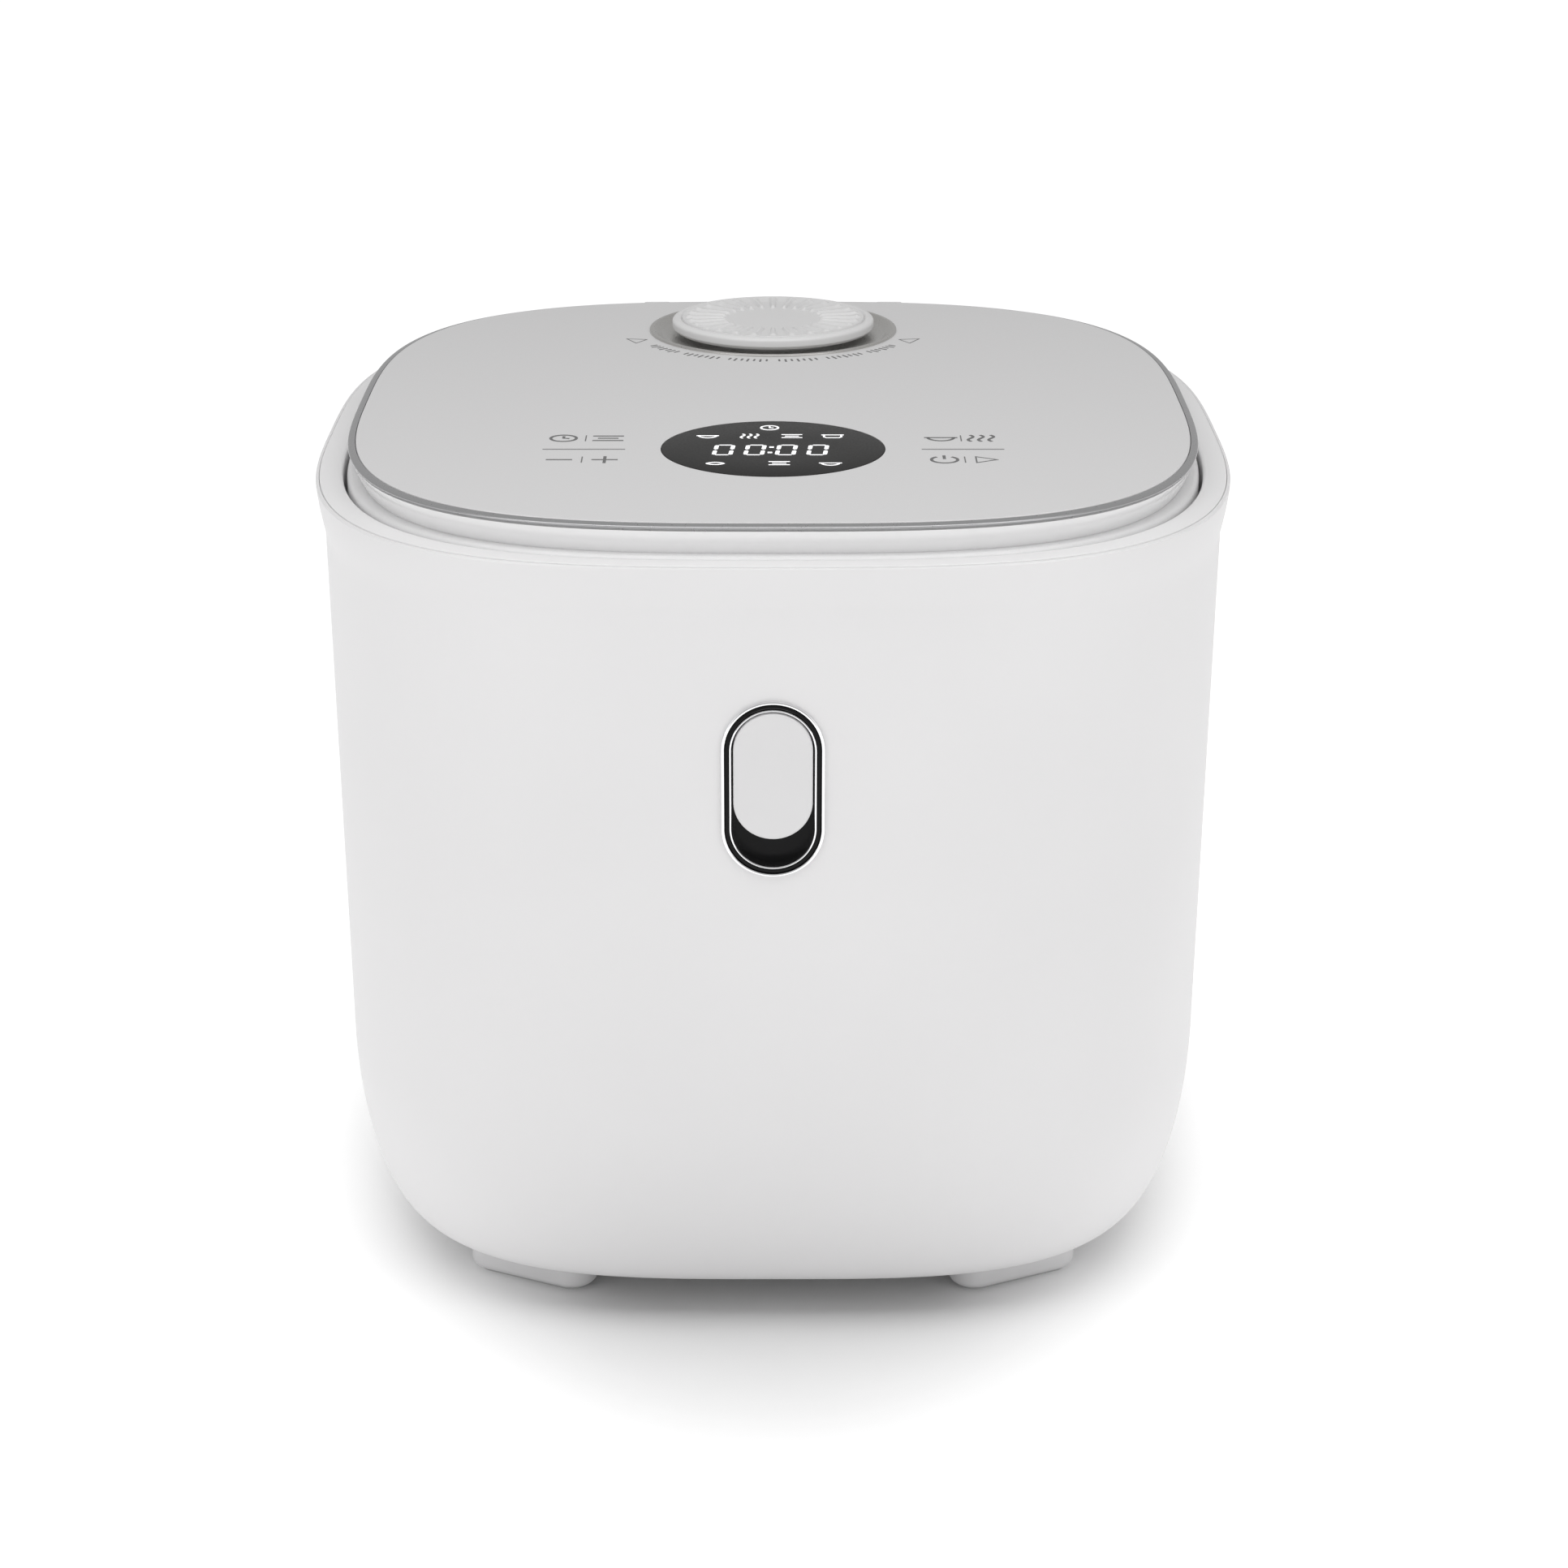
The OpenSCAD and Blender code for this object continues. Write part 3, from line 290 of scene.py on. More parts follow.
def turned(skin, profile, centre=(0.0, 0.0), count=192, closed=True):
    """A solid of revolution from a closed profile, or from an open one whose ends lie on the axis."""
    skin.quads(skin.add(turned_grid(profile, centre, count)), wrap=closed)


def capsule_outline(w, h, offset=0.0, count=96):
    """Capsule w wide and h high, drawn in by offset: the same share of points on arcs and straights."""
    r, straight = w / 2 - offset, h / 2 - w / 2
    t = np.arange(count) / count * 2 * np.pi
    side = np.array([np.cos(t), np.sin(t)]).T
    lift = np.where(side[:, 1] >= 0, straight, -straight)
    return np.stack([r * side[:, 0], r * side[:, 1] + lift], 1)


def lean(local, z0):
    """Places (x, depth, height) points in the front wall at height z0, leaning with its draft."""
    x, y, z = np.moveaxis(np.asarray(local, float), -1, 0)
    c, s = math.cos(DRAFT), math.sin(DRAFT)
    return np.stack([x, -wall_reach(0, z0) + y * c - z * s, z0 + y * s + z * c], -1)


def corner_turns(steps):
    """Directions round a rounded rectangle, and the signs of the corner that each one belongs to."""
    t = np.linspace(0, np.pi / 2, steps)
    turn = np.concatenate([t, t + np.pi / 2, t + np.pi, t + 1.5 * np.pi])
    return turn, np.repeat([1, -1, -1, 1], steps), np.repeat([1, 1, -1, -1], steps)


def block_skin(skin, low, high, stations, axis, place, steps):
    """Rounded rectangles across an axis, closed at both ends: each station is how far it is drawn in,
    the radius of its corners, and its level on the axis."""
    middle, half = (low + high) / 2, (high - low) / 2
    turn, su, sv = corner_turns(steps)
    u, v = [k for k in range(3) if k != axis]
    rows = []
    for draw_in, radius, level in stations:
        row = np.full((len(turn), 3), float(level))
        row[:, u] = middle[u] + su * (half[u] - draw_in - radius) + radius * np.cos(turn)
        row[:, v] = middle[v] + sv * (half[v] - draw_in - radius) + radius * np.sin(turn)
        rows.append(row)
    ids = skin.add(place(np.array(rows)))
    skin.quads(ids)
    skin.cap(ids[0])
    skin.cap(ids[-1])


def box_skin(skin, low, high, corner=1.0, edge=0.4, place=lambda p: p, axis=2, steps=6):
    """A block with rounded corners across the axis and small rounded edges along it."""
    low, high = np.array(low, float), np.array(high, float)
    edge = min(edge, (high[axis] - low[axis]) / 2)
    corner = max(corner, edge + 1e-3)
    rise = np.linspace(0, np.pi / 2, 4)
    ends = [(edge * (1 - math.sin(a)), edge * (1 - math.cos(a))) for a in rise]
    stations = [(draw_in, corner - draw_in, low[axis] + up) for draw_in, up in ends]
    stations += [(draw_in, corner - draw_in, high[axis] - up) for draw_in, up in reversed(ends)]
    block_skin(skin, low, high, stations, axis, place, steps)


def tray_skin(skin, low, high, wall, corner=1.0, axis=2, place=lambda p: p, steps=6):
    """An open box whose mouth is at the high end of the axis: a rounded rectangle across the axis,
    carried up inside the wall and back down outside it."""
    low, high = np.array(low, float), np.array(high, float)
    bottom, mouth, soft = low[axis], high[axis], min(0.3, wall / 3)
    levels = [(wall, bottom + wall), (wall, mouth - soft), (wall - soft, mouth), (soft, mouth),
              (0, mouth - soft), (0, bottom + soft), (soft, bottom)]
    stations = [(draw_in, max(corner - draw_in, 0.05), level) for draw_in, level in levels]
    block_skin(skin, low, high, stations, axis, place, steps)


# %% [markdown]
# ## Finishes
#
# Almost everything here is plastic, and plastics differ by how rough they are and by the fine grain
# of the mould. Each finish below is a Principled shader: its constant values sit on the shader's own
# sockets, and what changes over the surface comes from noise over the part's own place.
# %% Finish helpers
def new_finish(name, color, roughness, **sockets):
    """A Principled material with constant values on its own sockets."""
    material = bpy.data.materials.new(name)
    material.use_nodes = True
    shader = material.node_tree.nodes["Principled BSDF"]
    shader.inputs["Base Color"].default_value = (*color, 1)
    shader.inputs["Roughness"].default_value = roughness
    for socket, value in sockets.items():
        shader.inputs[socket.replace("_", " ")].default_value = value
    return material


def node(material, kind, **inputs):
    """A new shader node of that kind, with values on its inputs."""
    made = material.node_tree.nodes.new("ShaderNode" + kind)
    for socket, value in inputs.items():
        made.inputs[socket.replace("_", " ")].default_value = value
    return made


def grain(material, scale, detail=2.0, stretch=(1, 1, 1), centre=(0, 0, 0)):
    """Noise over the part's own place, scale features to the metre, stretched along the axes."""
    links = material.node_tree.links
    place = node(material, "TexCoord")
    mapping = node(material, "Mapping", Scale=stretch, Location=centre)
    noise = node(material, "TexNoise", Scale=scale, Detail=detail)
    links.new(place.outputs["Object"], mapping.inputs["Vector"])
    links.new(mapping.outputs["Vector"], noise.inputs["Vector"])
    return noise.outputs["Fac"]


def shader_of(material):
    """The Principled shader of a material."""
    return material.node_tree.nodes["Principled BSDF"]


def bump(material, height, depth, strength=1.0):
    """Relief of that depth in metres from a height between 0 and 1."""
    relief = node(material, "Bump", Strength=strength, Distance=depth)
    links = material.node_tree.links
    links.new(height, relief.inputs["Height"])
    links.new(relief.outputs["Normal"], shader_of(material).inputs["Normal"])


def spread(material, value, low, high, socket="Roughness"):
    """Carries a noise value to a socket as a range from low to high."""
    reach_map = node(material, "MapRange", To_Min=low, To_Max=high, From_Min=0.3, From_Max=0.7)
    links = material.node_tree.links
    links.new(value, reach_map.inputs["Value"])
    links.new(reach_map.outputs["Result"], shader_of(material).inputs[socket])


def tint(material, value, dark, light):
    """Carries a noise value to the base colour, between two colours."""
    ramp = node(material, "ValToRGB")
    first, last = ramp.color_ramp.elements
    first.position, last.position = 0.3, 0.7
    first.color, last.color = (*dark, 1), (*light, 1)
    links = material.node_tree.links
    links.new(value, ramp.inputs["Fac"])
    links.new(ramp.outputs["Color"], shader_of(material).inputs["Base Color"])


def shades(color, change):
    """The same colour a little darker and a little lighter."""
    return tuple(c * (1 - change) for c in color), tuple(min(1.0, c * (1 + change)) for c in color)


def moulded(name, color, roughness, grain_scale=2600, depth=2e-5, change=0.012, **sockets):
    """Moulded plastic: fine spark-eroded grain, and a colour that drifts very slightly."""
    material = new_finish(name, color, roughness, **sockets)
    tint(material, grain(material, 14), *shades(color, change))
    fine = grain(material, grain_scale, 3)
    bump(material, fine, depth)
    spread(material, fine, roughness - 0.03, roughness + 0.04)
    return material


def drawn_metal(name, color, roughness, stretch=(1, 1, 1), scale=900, depth=1.5e-5, change=0.06):
    """Bare metal whose fine lines run along the axis that is stretched least."""
    material = new_finish(name, color, roughness, Metallic=1.0)
    lines = grain(material, scale, 4, stretch)
    tint(material, grain(material, 60, 3), *shades(color, change))
    spread(material, lines, roughness * 0.8, roughness * 1.3)
    bump(material, lines, depth)
    return material


# %% [markdown]
# The plate on the lid is painted in a satin silver. The paint holds fine flakes, so its colour is
# speckled at the scale of a tenth of a millimetre and its sheen is soft.
# %% Finishes of the outside
casing_white = moulded("casing_white", (0.715, 0.709, 0.713), 0.42, 3200, 1.6e-5, IOR=1.46)
frame_white = moulded("frame_white", (0.755, 0.75, 0.753), 0.36, 2600)
base_white = moulded("base_white", (0.7, 0.695, 0.7), 0.5)
lid_white = moulded("lid_white", (0.74, 0.737, 0.74), 0.3)
side_pearl = moulded("side_pearl", (0.93, 0.928, 0.93), 0.18, 900, 3e-6, 0.01, Coat_Weight=0.5)
button_white = moulded("button_white", (0.66, 0.655, 0.66), 0.38)
cap_white = moulded("cap_white", (0.67, 0.667, 0.667), 0.42)
well_black = moulded("well_black", (0.005, 0.005, 0.0055), 0.16, 500, 2e-6, 0.05, Specular_IOR_Level=0.12)
lens_black = moulded("lens_black", (0.014, 0.0135, 0.013), 0.36, 1800, 3e-6, 0.05, Specular_IOR_Level=0.1)


def silver_paint(name, color, roughness, metallic):
    """Satin paint with fine flakes."""
    material = new_finish(name, color, roughness, Metallic=metallic)
    flakes = grain(material, 7000, 1)
    tint(material, flakes, *shades(color, 0.05))
    spread(material, grain(material, 900, 2), roughness - 0.03, roughness + 0.04)
    bump(material, flakes, 6e-6)
    return material


plate_satin = silver_paint("plate_satin", (0.76, 0.755, 0.757), 0.42, 0.4)
band_grey = silver_paint("band_grey", (0.42, 0.42, 0.425), 0.3, 0.85)
bezel_satin = silver_paint("bezel_satin", (0.50, 0.492, 0.475), 0.3, 0.8)
chrome = drawn_metal("chrome", (0.86, 0.86, 0.87), 0.07, scale=300, depth=1e-6, change=0.01)
print_grey = moulded("print_grey", (0.13, 0.13, 0.13), 0.5, depth=2e-6)
lit_white = moulded("lit_white", (0.9, 0.9, 0.92), 0.4, depth=1e-6)
shader_of(lit_white).inputs["Emission Color"].default_value = (1, 1, 1, 1)
shader_of(lit_white).inputs["Emission Strength"].default_value = 0.55

# %% Finishes of the inside
# Most of these are meant for the frame's own parts, by name, and need no variable. The next note
# says why they don't arrive there.
drawn_metal("inner_aluminium", (0.72, 0.72, 0.73), 0.3)
drawn_metal("basket_steel", (0.66, 0.66, 0.67), 0.24, (1, 1, 30))
drawn_metal("can_steel", (0.55, 0.56, 0.57), 0.34, (1, 1, 12), 700, change=0.15)
drawn_metal("cast_aluminium", (0.66, 0.66, 0.67), 0.42, scale=1500, depth=4e-5, change=0.1)
drawn_metal("sensor_aluminium", (0.76, 0.76, 0.77), 0.22)
drawn_metal("screw_steel", (0.62, 0.62, 0.61), 0.28, scale=2500)
drawn_metal("spring_steel", (0.5, 0.5, 0.51), 0.26, scale=3000)
drawn_metal("heater_sheath", (0.25, 0.235, 0.22), 0.5, scale=1500, change=0.2)
drawn_metal("pin_nickel", (0.74, 0.73, 0.69), 0.16, scale=2500)
moulded("silicone", (0.66, 0.66, 0.655), 0.55, 1800, 1e-5, Specular_IOR_Level=0.35)
pad_rubber = moulded("pad_rubber", (0.5, 0.5, 0.5), 0.75, 3500, 3e-5)
moulded("ceramic", (0.84, 0.82, 0.78), 0.3, 1200)
moulded("fuse_body", (0.7, 0.62, 0.46), 0.35)
moulded("nylon_grey", (0.5, 0.5, 0.5), 0.5)
moulded("terminal_nylon", (0.78, 0.76, 0.66), 0.45)
moulded("board_green", (0.03, 0.2, 0.08), 0.3, 700, 2e-5, 0.2)
moulded("transformer_tape", (0.68, 0.5, 0.08), 0.3, 400, 3e-5, 0.1)
moulded("relay_blue", (0.05, 0.12, 0.36), 0.35)
moulded("capacitor_sleeve", (0.03, 0.03, 0.05), 0.3)
moulded("lead_red", (0.5, 0.04, 0.03), 0.5)
moulded("lead_brown", (0.12, 0.055, 0.03), 0.5)
inlet_black = moulded("inlet_black", (0.02, 0.02, 0.02), 0.42)
moulded("pad_foam", (0.06, 0.06, 0.06), 0.9, 1200, 2e-4)
valve_white = moulded("valve_white", (0.72, 0.72, 0.72), 0.45)


def coated_pot():
    """Non-stick coating: near black, with pale specks a few tenths of a millimetre across."""
    material = new_finish("pot_coating", (0.05, 0.05, 0.053), 0.36, Specular_IOR_Level=0.6)
    specks = grain(material, 1500, 0)
    ramp = node(material, "ValToRGB")
    ground, speck = ramp.color_ramp.elements
    ground.position, speck.position = 0.66, 0.72
    ground.color, speck.color = (0.035, 0.035, 0.038, 1), (0.35, 0.35, 0.36, 1)
    links = material.node_tree.links
    links.new(specks, ramp.inputs["Fac"])
    links.new(ramp.outputs["Color"], shader_of(material).inputs["Base Color"])
    bump(material, grain(material, 900, 3), 4e-5)
    return material


pot_coating = coated_pot()

# %% [markdown]
# The frame already holds a flat material under each slot's name, so Blender numbers a new one, as
# casing_white.001. The lookup below goes by name and finds the flat one. That is a fault: the
# frame's own parts stay flat, and only the pieces that are made here show these finishes.
# %% Materials of the frame's own parts
SLOTS = {entry["node"]: entry["material_slot"] for entry in frame["record"]["subparts"]}
finishes = {m.name: m for m in bpy.data.materials}
for name, part in frame["nodes"].items():
    part.data.materials.clear()
    part.data.materials.append(finishes[SLOTS[name]])
print("parts of the frame with a flat material:", len(frame["nodes"]))

# %% [markdown]
# ## The casing
#
# The casing is one moulded shell. Its profile goes up the outside, over the bright edge of the collar,
# down the inside of the lip and down the inner face. Three openings pass through it: the release in
# front, and the inlet and the condensate cup behind.
# %% Casing levels and profile
LIP = 0.9
foot_levels = round_z - ROUND_H * np.sin(np.linspace(math.asin((ROUND_H - 1) / ROUND_H), 0, 26))
wall_levels = np.linspace(round_z, flare_z, 56)[1:]
collar_levels = flare_z + FLARE_H * np.linspace(0, 1, 13)[1:-1] ** 0.8
levels = np.concatenate([foot_levels, wall_levels, collar_levels])
outer = [(float(case_inset(z)), z, float(case_power(z))) for z in levels]
top = rim_z - SHELL_DOWN
lip_end = rim_z - 2.5
edge = [(0.06, top - 0.35, RIM_POWER), (0.16, top - 0.12, RIM_POWER), (0.34, top, RIM_POWER),
        (LIP - 0.1, top, RIM_POWER), (LIP, top - 0.1, RIM_POWER), (LIP, lip_end, RIM_POWER),
        (LIP + WALL_T, lip_end, RIM_POWER)]
INNER_FROM = 4.5
inner_levels = levels[(levels > base_z + INNER_FROM) & (levels < rim_z - 3)][::-1]
inner = [(float(case_inset(z)) + WALL_T, z, float(case_power(z))) for z in inner_levels]
close = [(flat_in + 4, base_z + WALL_T, WALL_POWER), (flat_in + 4, base_z + SHELL_UP, WALL_POWER)]
casing_profile = outer + edge + inner + close

# %% Casing shell and its openings
FRONT, BACK = 3 * ROUND // 4, ROUND // 4
release_z = base_z + 143.5
dew_low, dew_high = corners("dew_collector")
inlet_low, inlet_high = corners("ac_inlet")
inlet_z = (inlet_low[2] + inlet_high[2]) / 2
dew_mid_z = (dew_low[2] + dew_high[2]) / 2
DEW_CORNER, DEW_GAP = 3.0, 0.8


def rounded_edge(a, b, corner):
    """The edge of an opening: reach of a rounded rectangle of half sizes a, b about its middle."""
    return lambda angles: rounded_reach(angles, a, b, corner)


def wall_window(column, cols, middle_z, down, up, edge_reach):
    """A window as (side, columns, lowest level, highest level, middle height, edge reach)."""
    side = -1 if column == FRONT else 1
    span = np.arange(column - cols, column + cols + 1)
    return side, span, middle_z - down, middle_z + up, middle_z, edge_reach


windows = [
    wall_window(FRONT, 11, release_z, 38, 38, rounded_edge(12.6, 22.8, 12.6)),
    wall_window(BACK, 11, inlet_z, 22, 23, rounded_edge(13.9, 10.3, 2.0)),
    wall_window(BACK, 24, dew_mid_z, 29, 28, rounded_edge(
        dew_high[0] + DEW_GAP, (dew_high[2] - dew_low[2]) / 2 + DEW_GAP, DEW_CORNER + DEW_GAP)),
]
skin = Skin()
grid = skin.add(outline_grid(casing_profile))
keep = np.ones(grid.shape, bool)
first_inner = len(outer) + len(edge)
for side, cols, z_low, z_high, middle_z, edge_reach in windows:
    rows = np.flatnonzero((levels >= z_low) & (levels <= z_high))
    inner_rows = first_inner + np.array([np.argmin(np.abs(inner_levels - levels[k])) for k in rows])
    loops = []
    for walk, depth in ((rows, 0.0), (inner_rows, WALL_T)):
        keep[np.ix_(range(min(walk), max(walk)), cols[:-1])] = False
        loops.append(close_in(
            skin, loop_of(grid, walk, cols), [0, 2], np.array([0.0, middle_z]), edge_reach,
            lambda p, s=side, d=depth: np.stack([p[:, 0], s * wall_reach(p[:, 0], p[:, 1], d), p[:, 1]], 1)))
    skin.band(*loops)
skin.quads(grid, wrap=True, keep=keep)
make_piece("casing", skin, casing_white, "casing", ["body_shell"])

# %% [markdown]
# ## The rim
#
# The rim is a flat ring that fits inside the collar. Its inner edge turns down into the recess that
# the lid closes into, and the recess ends in a shelf with the round mouth that the pot hangs in. A
# window in the front of the shelf lets the lid's striker reach the catch.
# %% Rim ring, recess and shelf
RING_W, SHELF_T, RECESS_WALL = 7.1, 4.0, 1.3
POST_HOLE_R, POST_R, POCKET = 1.65, 4.5, 1.8
CATCH_Y, CATCH_HALF_W, CATCH_HALF_D = -119.75, 8.0, 9.75
foot_out = np.array([half_w - flat_in - 26.5, half_d - flat_in - 27.6])
foot_in = np.array([half_w - flat_in - 47.1, half_d - flat_in - 17.3])
post_at = (foot_out + foot_in) / 2
pot_r = 96.0
mouth_r = pot_r + 1.6
ring_profile = rounded([(1.0, lip_end, 0), (1.0, rim_z, 0.35), (RING_W, rim_z, 0.9), (RING_W, shelf_z, 0)])
ring_profile = np.concatenate([ring_profile[:-1], [(RING_W, shelf_z + 0.8), (RING_W + 0.24, shelf_z + 0.24)]])
shelf_low = shelf_z - SHELF_T
under_profile = [(RING_W - RECESS_WALL, shelf_low), (RING_W - RECESS_WALL, lip_end)]


def shelf_rows(z, shares):
    """Rows from the recess outline (share 0) to the round mouth (share 1) at height z."""
    far = reach(AROUND, half_w - RING_W - 0.8, half_d - RING_W - 0.8, RIM_POWER)
    r = far + np.asarray(shares)[:, None] * (mouth_r - far)
    return np.stack([r * np.cos(AROUND), r * np.sin(AROUND), np.full_like(r, z)], -1)


def at_level(z):
    """Turns (x, y) points into points at the height z."""
    return lambda p: np.column_stack([p, np.full(len(p), z)])


def tube_post(skin, middle, bore, r, low, high):
    """A screw post: an upright tube."""
    turned(skin, [(bore, low), (r, low), (r, high), (bore, high)], middle, 40)


skin = Skin()
STEPS_IN = 15
shares = np.linspace(0, 1, STEPS_IN)
top_rows, low_rows = shelf_rows(shelf_z, shares), shelf_rows(shelf_low, shares[::-1])
upper, lower = outline_grid(ring_profile), outline_grid(under_profile)
grid = skin.add(np.concatenate([upper, top_rows, low_rows, lower]))
keep = np.ones(grid.shape, bool)
cols = np.arange(FRONT - 9, FRONT + 10)
top_walk = len(upper) + np.arange(STEPS_IN)
low_walk = len(upper) + 2 * STEPS_IN - 1 - np.arange(STEPS_IN)
loops = []
for walk, z in ((top_walk, shelf_z), (low_walk, shelf_low)):
    keep[np.ix_(range(min(walk), max(walk)), cols[:-1])] = False
    loops.append(close_in(
        skin, loop_of(grid, walk, cols), [0, 1], np.array([0.0, CATCH_Y]),
        rounded_edge(CATCH_HALF_W, CATCH_HALF_D, 1.0), at_level(z)))
skin.band(*loops)
skin.quads(grid, wrap=True, keep=keep)
for side in CORNERS:
    tube_post(skin, post_at * side, POST_HOLE_R, POST_R, base_z + 2.5, shelf_low)
for x in (-8.5, 8.5):
    box_skin(skin, (x - 1.5, -126.5, rim_z - 41), (x + 1.5, -118.5, shelf_low), axis=0)
tray_skin(
    skin, (-dew_high[0] - POCKET, dew_low[1] - POCKET, dew_low[2] - POCKET),
    (dew_high[0] + POCKET, 131.4, dew_high[2] + POCKET), 1.5, corner=3.5, axis=1)
hinge_low, hinge_high = corners("hinge_pin")
hinge_y, hinge_z = (hinge_low[1] + hinge_high[1]) / 2, (hinge_low[2] + hinge_high[2]) / 2
EAR_FROM, EAR_W = 32.0, 8.0
ear_starts = (-EAR_FROM - EAR_W, EAR_FROM)
for x0 in ear_starts:
    box_skin(skin, (x0, 132.0, rim_z - 1), (x0 + EAR_W, 135.5, hinge_z), corner=0.8)
make_piece("rim", skin, frame_white, "casing", ["rim_frame"])

# %% [markdown]
# The hinge's barrels are short tubes round the pin. The ones on the rim and the long one on the lid
# share one helper: a ring profile turned round an axis that lies along X.
# %% Hinge barrels
BARREL_R, PIN_R = 3.0, 1.5


def barrel(skin, x0, x1):
    """A tube along X round the hinge's axis, with small rounded ends."""
    bore = PIN_R + 0.05
    profile = rounded([(bore, x0, 0), (BARREL_R, x0, 0.5), (BARREL_R, x1, 0.5), (bore, x1, 0)])
    t = np.arange(48) * 2 * np.pi / 48
    r, x = profile[:, :1], profile[:, 1:2] + 0 * t
    skin.quads(skin.add(np.stack([x, hinge_y + r * np.cos(t), hinge_z + r * np.sin(t)], -1)), wrap=True)


skin = Skin()
for x0 in ear_starts:
    barrel(skin, x0, x0 + EAR_W)
make_piece("rim_barrels", skin, frame_white, "casing")

# %% [markdown]
# ## The base and the feet
#
# Four long feet stand under the base plate, each a capsule seen from above with a rounded lower edge.
# Each holds a screw in a deep seat. The plate between them has a row of slots that let air in.
# %% Base plate
FOOT_R, FOOT_ROUND, PAD_T = 7.0, 2.4, 0.8
SEAT_R, SEAT_TOP = 3.7, 6.0
FOOT_POINTS = 64


def foot_loop(side, grown):
    """Outline of a foot, a capsule between its two centres, grown by that much."""
    a, b = foot_out * side, foot_in * side
    along = (b - a) / np.linalg.norm(b - a)
    across = np.array([-along[1], along[0]])
    t = np.arange(FOOT_POINTS) / FOOT_POINTS * 2 * np.pi
    half = np.linalg.norm(b - a) / 2
    u = (FOOT_R + grown) * np.cos(t) + np.where(np.cos(t) >= 0, half, -half)
    v = (FOOT_R + grown) * np.sin(t)
    return (a + b) / 2 + u[:, None] * along + v[:, None] * across


def circle_loop(centre, radius, like):
    """A circle whose points lie in the same directions as the points of a loop about the centre."""
    away = like - centre
    return centre + radius * away / np.linalg.norm(away, axis=1, keepdims=True)


skin = Skin()
plate_profile = [(flat_in + 4.4, base_z + 2.5), (flat_in + 4.4, base_z + SHELL_UP)]
plate_profile += [(float(case_inset(base_z + up)), base_z + up) for up in (SHELL_UP, 0.6, 0.25, 0.06)]
plate_profile += [(flat_in + 0.6, base_z), (flat_in + 3, base_z)]
grid = skin.add(outline_grid(plate_profile, WALL_POWER))
skin.quads(grid)
skin.cap(grid[0])
skin.cap(grid[-1])
feet = Skin()
rise = np.linspace(0, np.pi / 2, 7)
foot_sides = [(FOOT_ROUND * (math.sin(a) - 1), PAD_T + FOOT_ROUND * (1 - math.cos(a))) for a in rise]
foot_sides.append((0, base_z + 0.2))
for side in CORNERS:
    loops = [at_level(z)(foot_loop(side, grown)) for grown, z in foot_sides]
    seat = circle_loop(post_at * side, SEAT_R, loops[0][:, :2])
    grid = feet.add(np.array([at_level(SEAT_TOP)(seat), at_level(PAD_T)(seat), *loops]))
    feet.quads(grid)
    feet.cap(grid[0])
    feet.cap(grid[-1])
make_piece("base_feet", feet, base_white, "casing")
base = make_piece("base", skin, base_white, "casing", ["base_plate"])

# %% [markdown]
# The slots are flat cuts through a flat plate, which is the one case where a boolean leaves a clean
# mesh. Nine small bars are cut from the plate and the cutter is thrown away.
# %% Air slots in the base
cutters = Skin()
SLOT_PITCH, SLOT_W = 9, 3.0
for x in SLOT_PITCH * np.arange(-4, 5):
    left, right = x - SLOT_W / 2, x + SLOT_W / 2
    box_skin(cutters, (left, 23, base_z - 2), (right, 67, base_z + 5), corner=1.4, edge=0.01)
cutter = make_piece("slot_cutter", cutters, base_white, "casing")
cut = base.modifiers.new("slots", "BOOLEAN")
cut.operation, cut.object, cut.solver = "DIFFERENCE", cutter, "EXACT"
bpy.context.view_layer.update()
cut_mesh = bpy.data.meshes.new_from_object(base.evaluated_get(bpy.context.evaluated_depsgraph_get()))
base.modifiers.clear()
base.data = cut_mesh
bpy.data.objects.remove(cutter)
base.data.polygons.foreach_set("use_smooth", np.ones(len(base.data.polygons), bool))
base.data.set_sharp_from_angle(angle=math.radians(32))
print("base faces after the cut:", len(base.data.polygons))

# %% Foot pads
skin = Skin()
for side in CORNERS:
    outside = foot_loop(side, -FOOT_ROUND - 0.05)
    inside = circle_loop(post_at * side, SEAT_R, outside)
    ring = [(inside, PAD_T), (inside, 0.0), (outside, 0.0), (outside, PAD_T)]
    skin.quads(skin.add(np.array([at_level(z)(loop) for loop, z in ring])), wrap=True)
make_piece("foot_grips", skin, pad_rubber, "casing", ["foot_pads"])

# %% [markdown]
# ## The lid
#
# The lid is a shallow tray turned upside down: a skirt that drops into the recess, a rounded ledge,
# and a flat deck. On the deck stands a glossy side ring that leans outwards, then a grey band, and
# the silver plate lies on top. The round well for the steam valve passes through plate and deck.
# %% Lid shell
SKIRT_IN, EDGE_IN, BAND_W, SKIRT_WALL, DECK_T = 8.1, 8.4, 2.1, 2.0, 2.0
LID_POST_AT = (88.0, 95.0)
skirt_z = shelf_z + 4
valve_low, valve_high = corners("steam_cap")
vent = np.array([0.0, (valve_low[1] + valve_high[1]) / 2])
cap_r = (valve_high[0] - valve_low[0]) / 2
neck_r = cap_r - 7.7
well_r = neck_r + 0.5


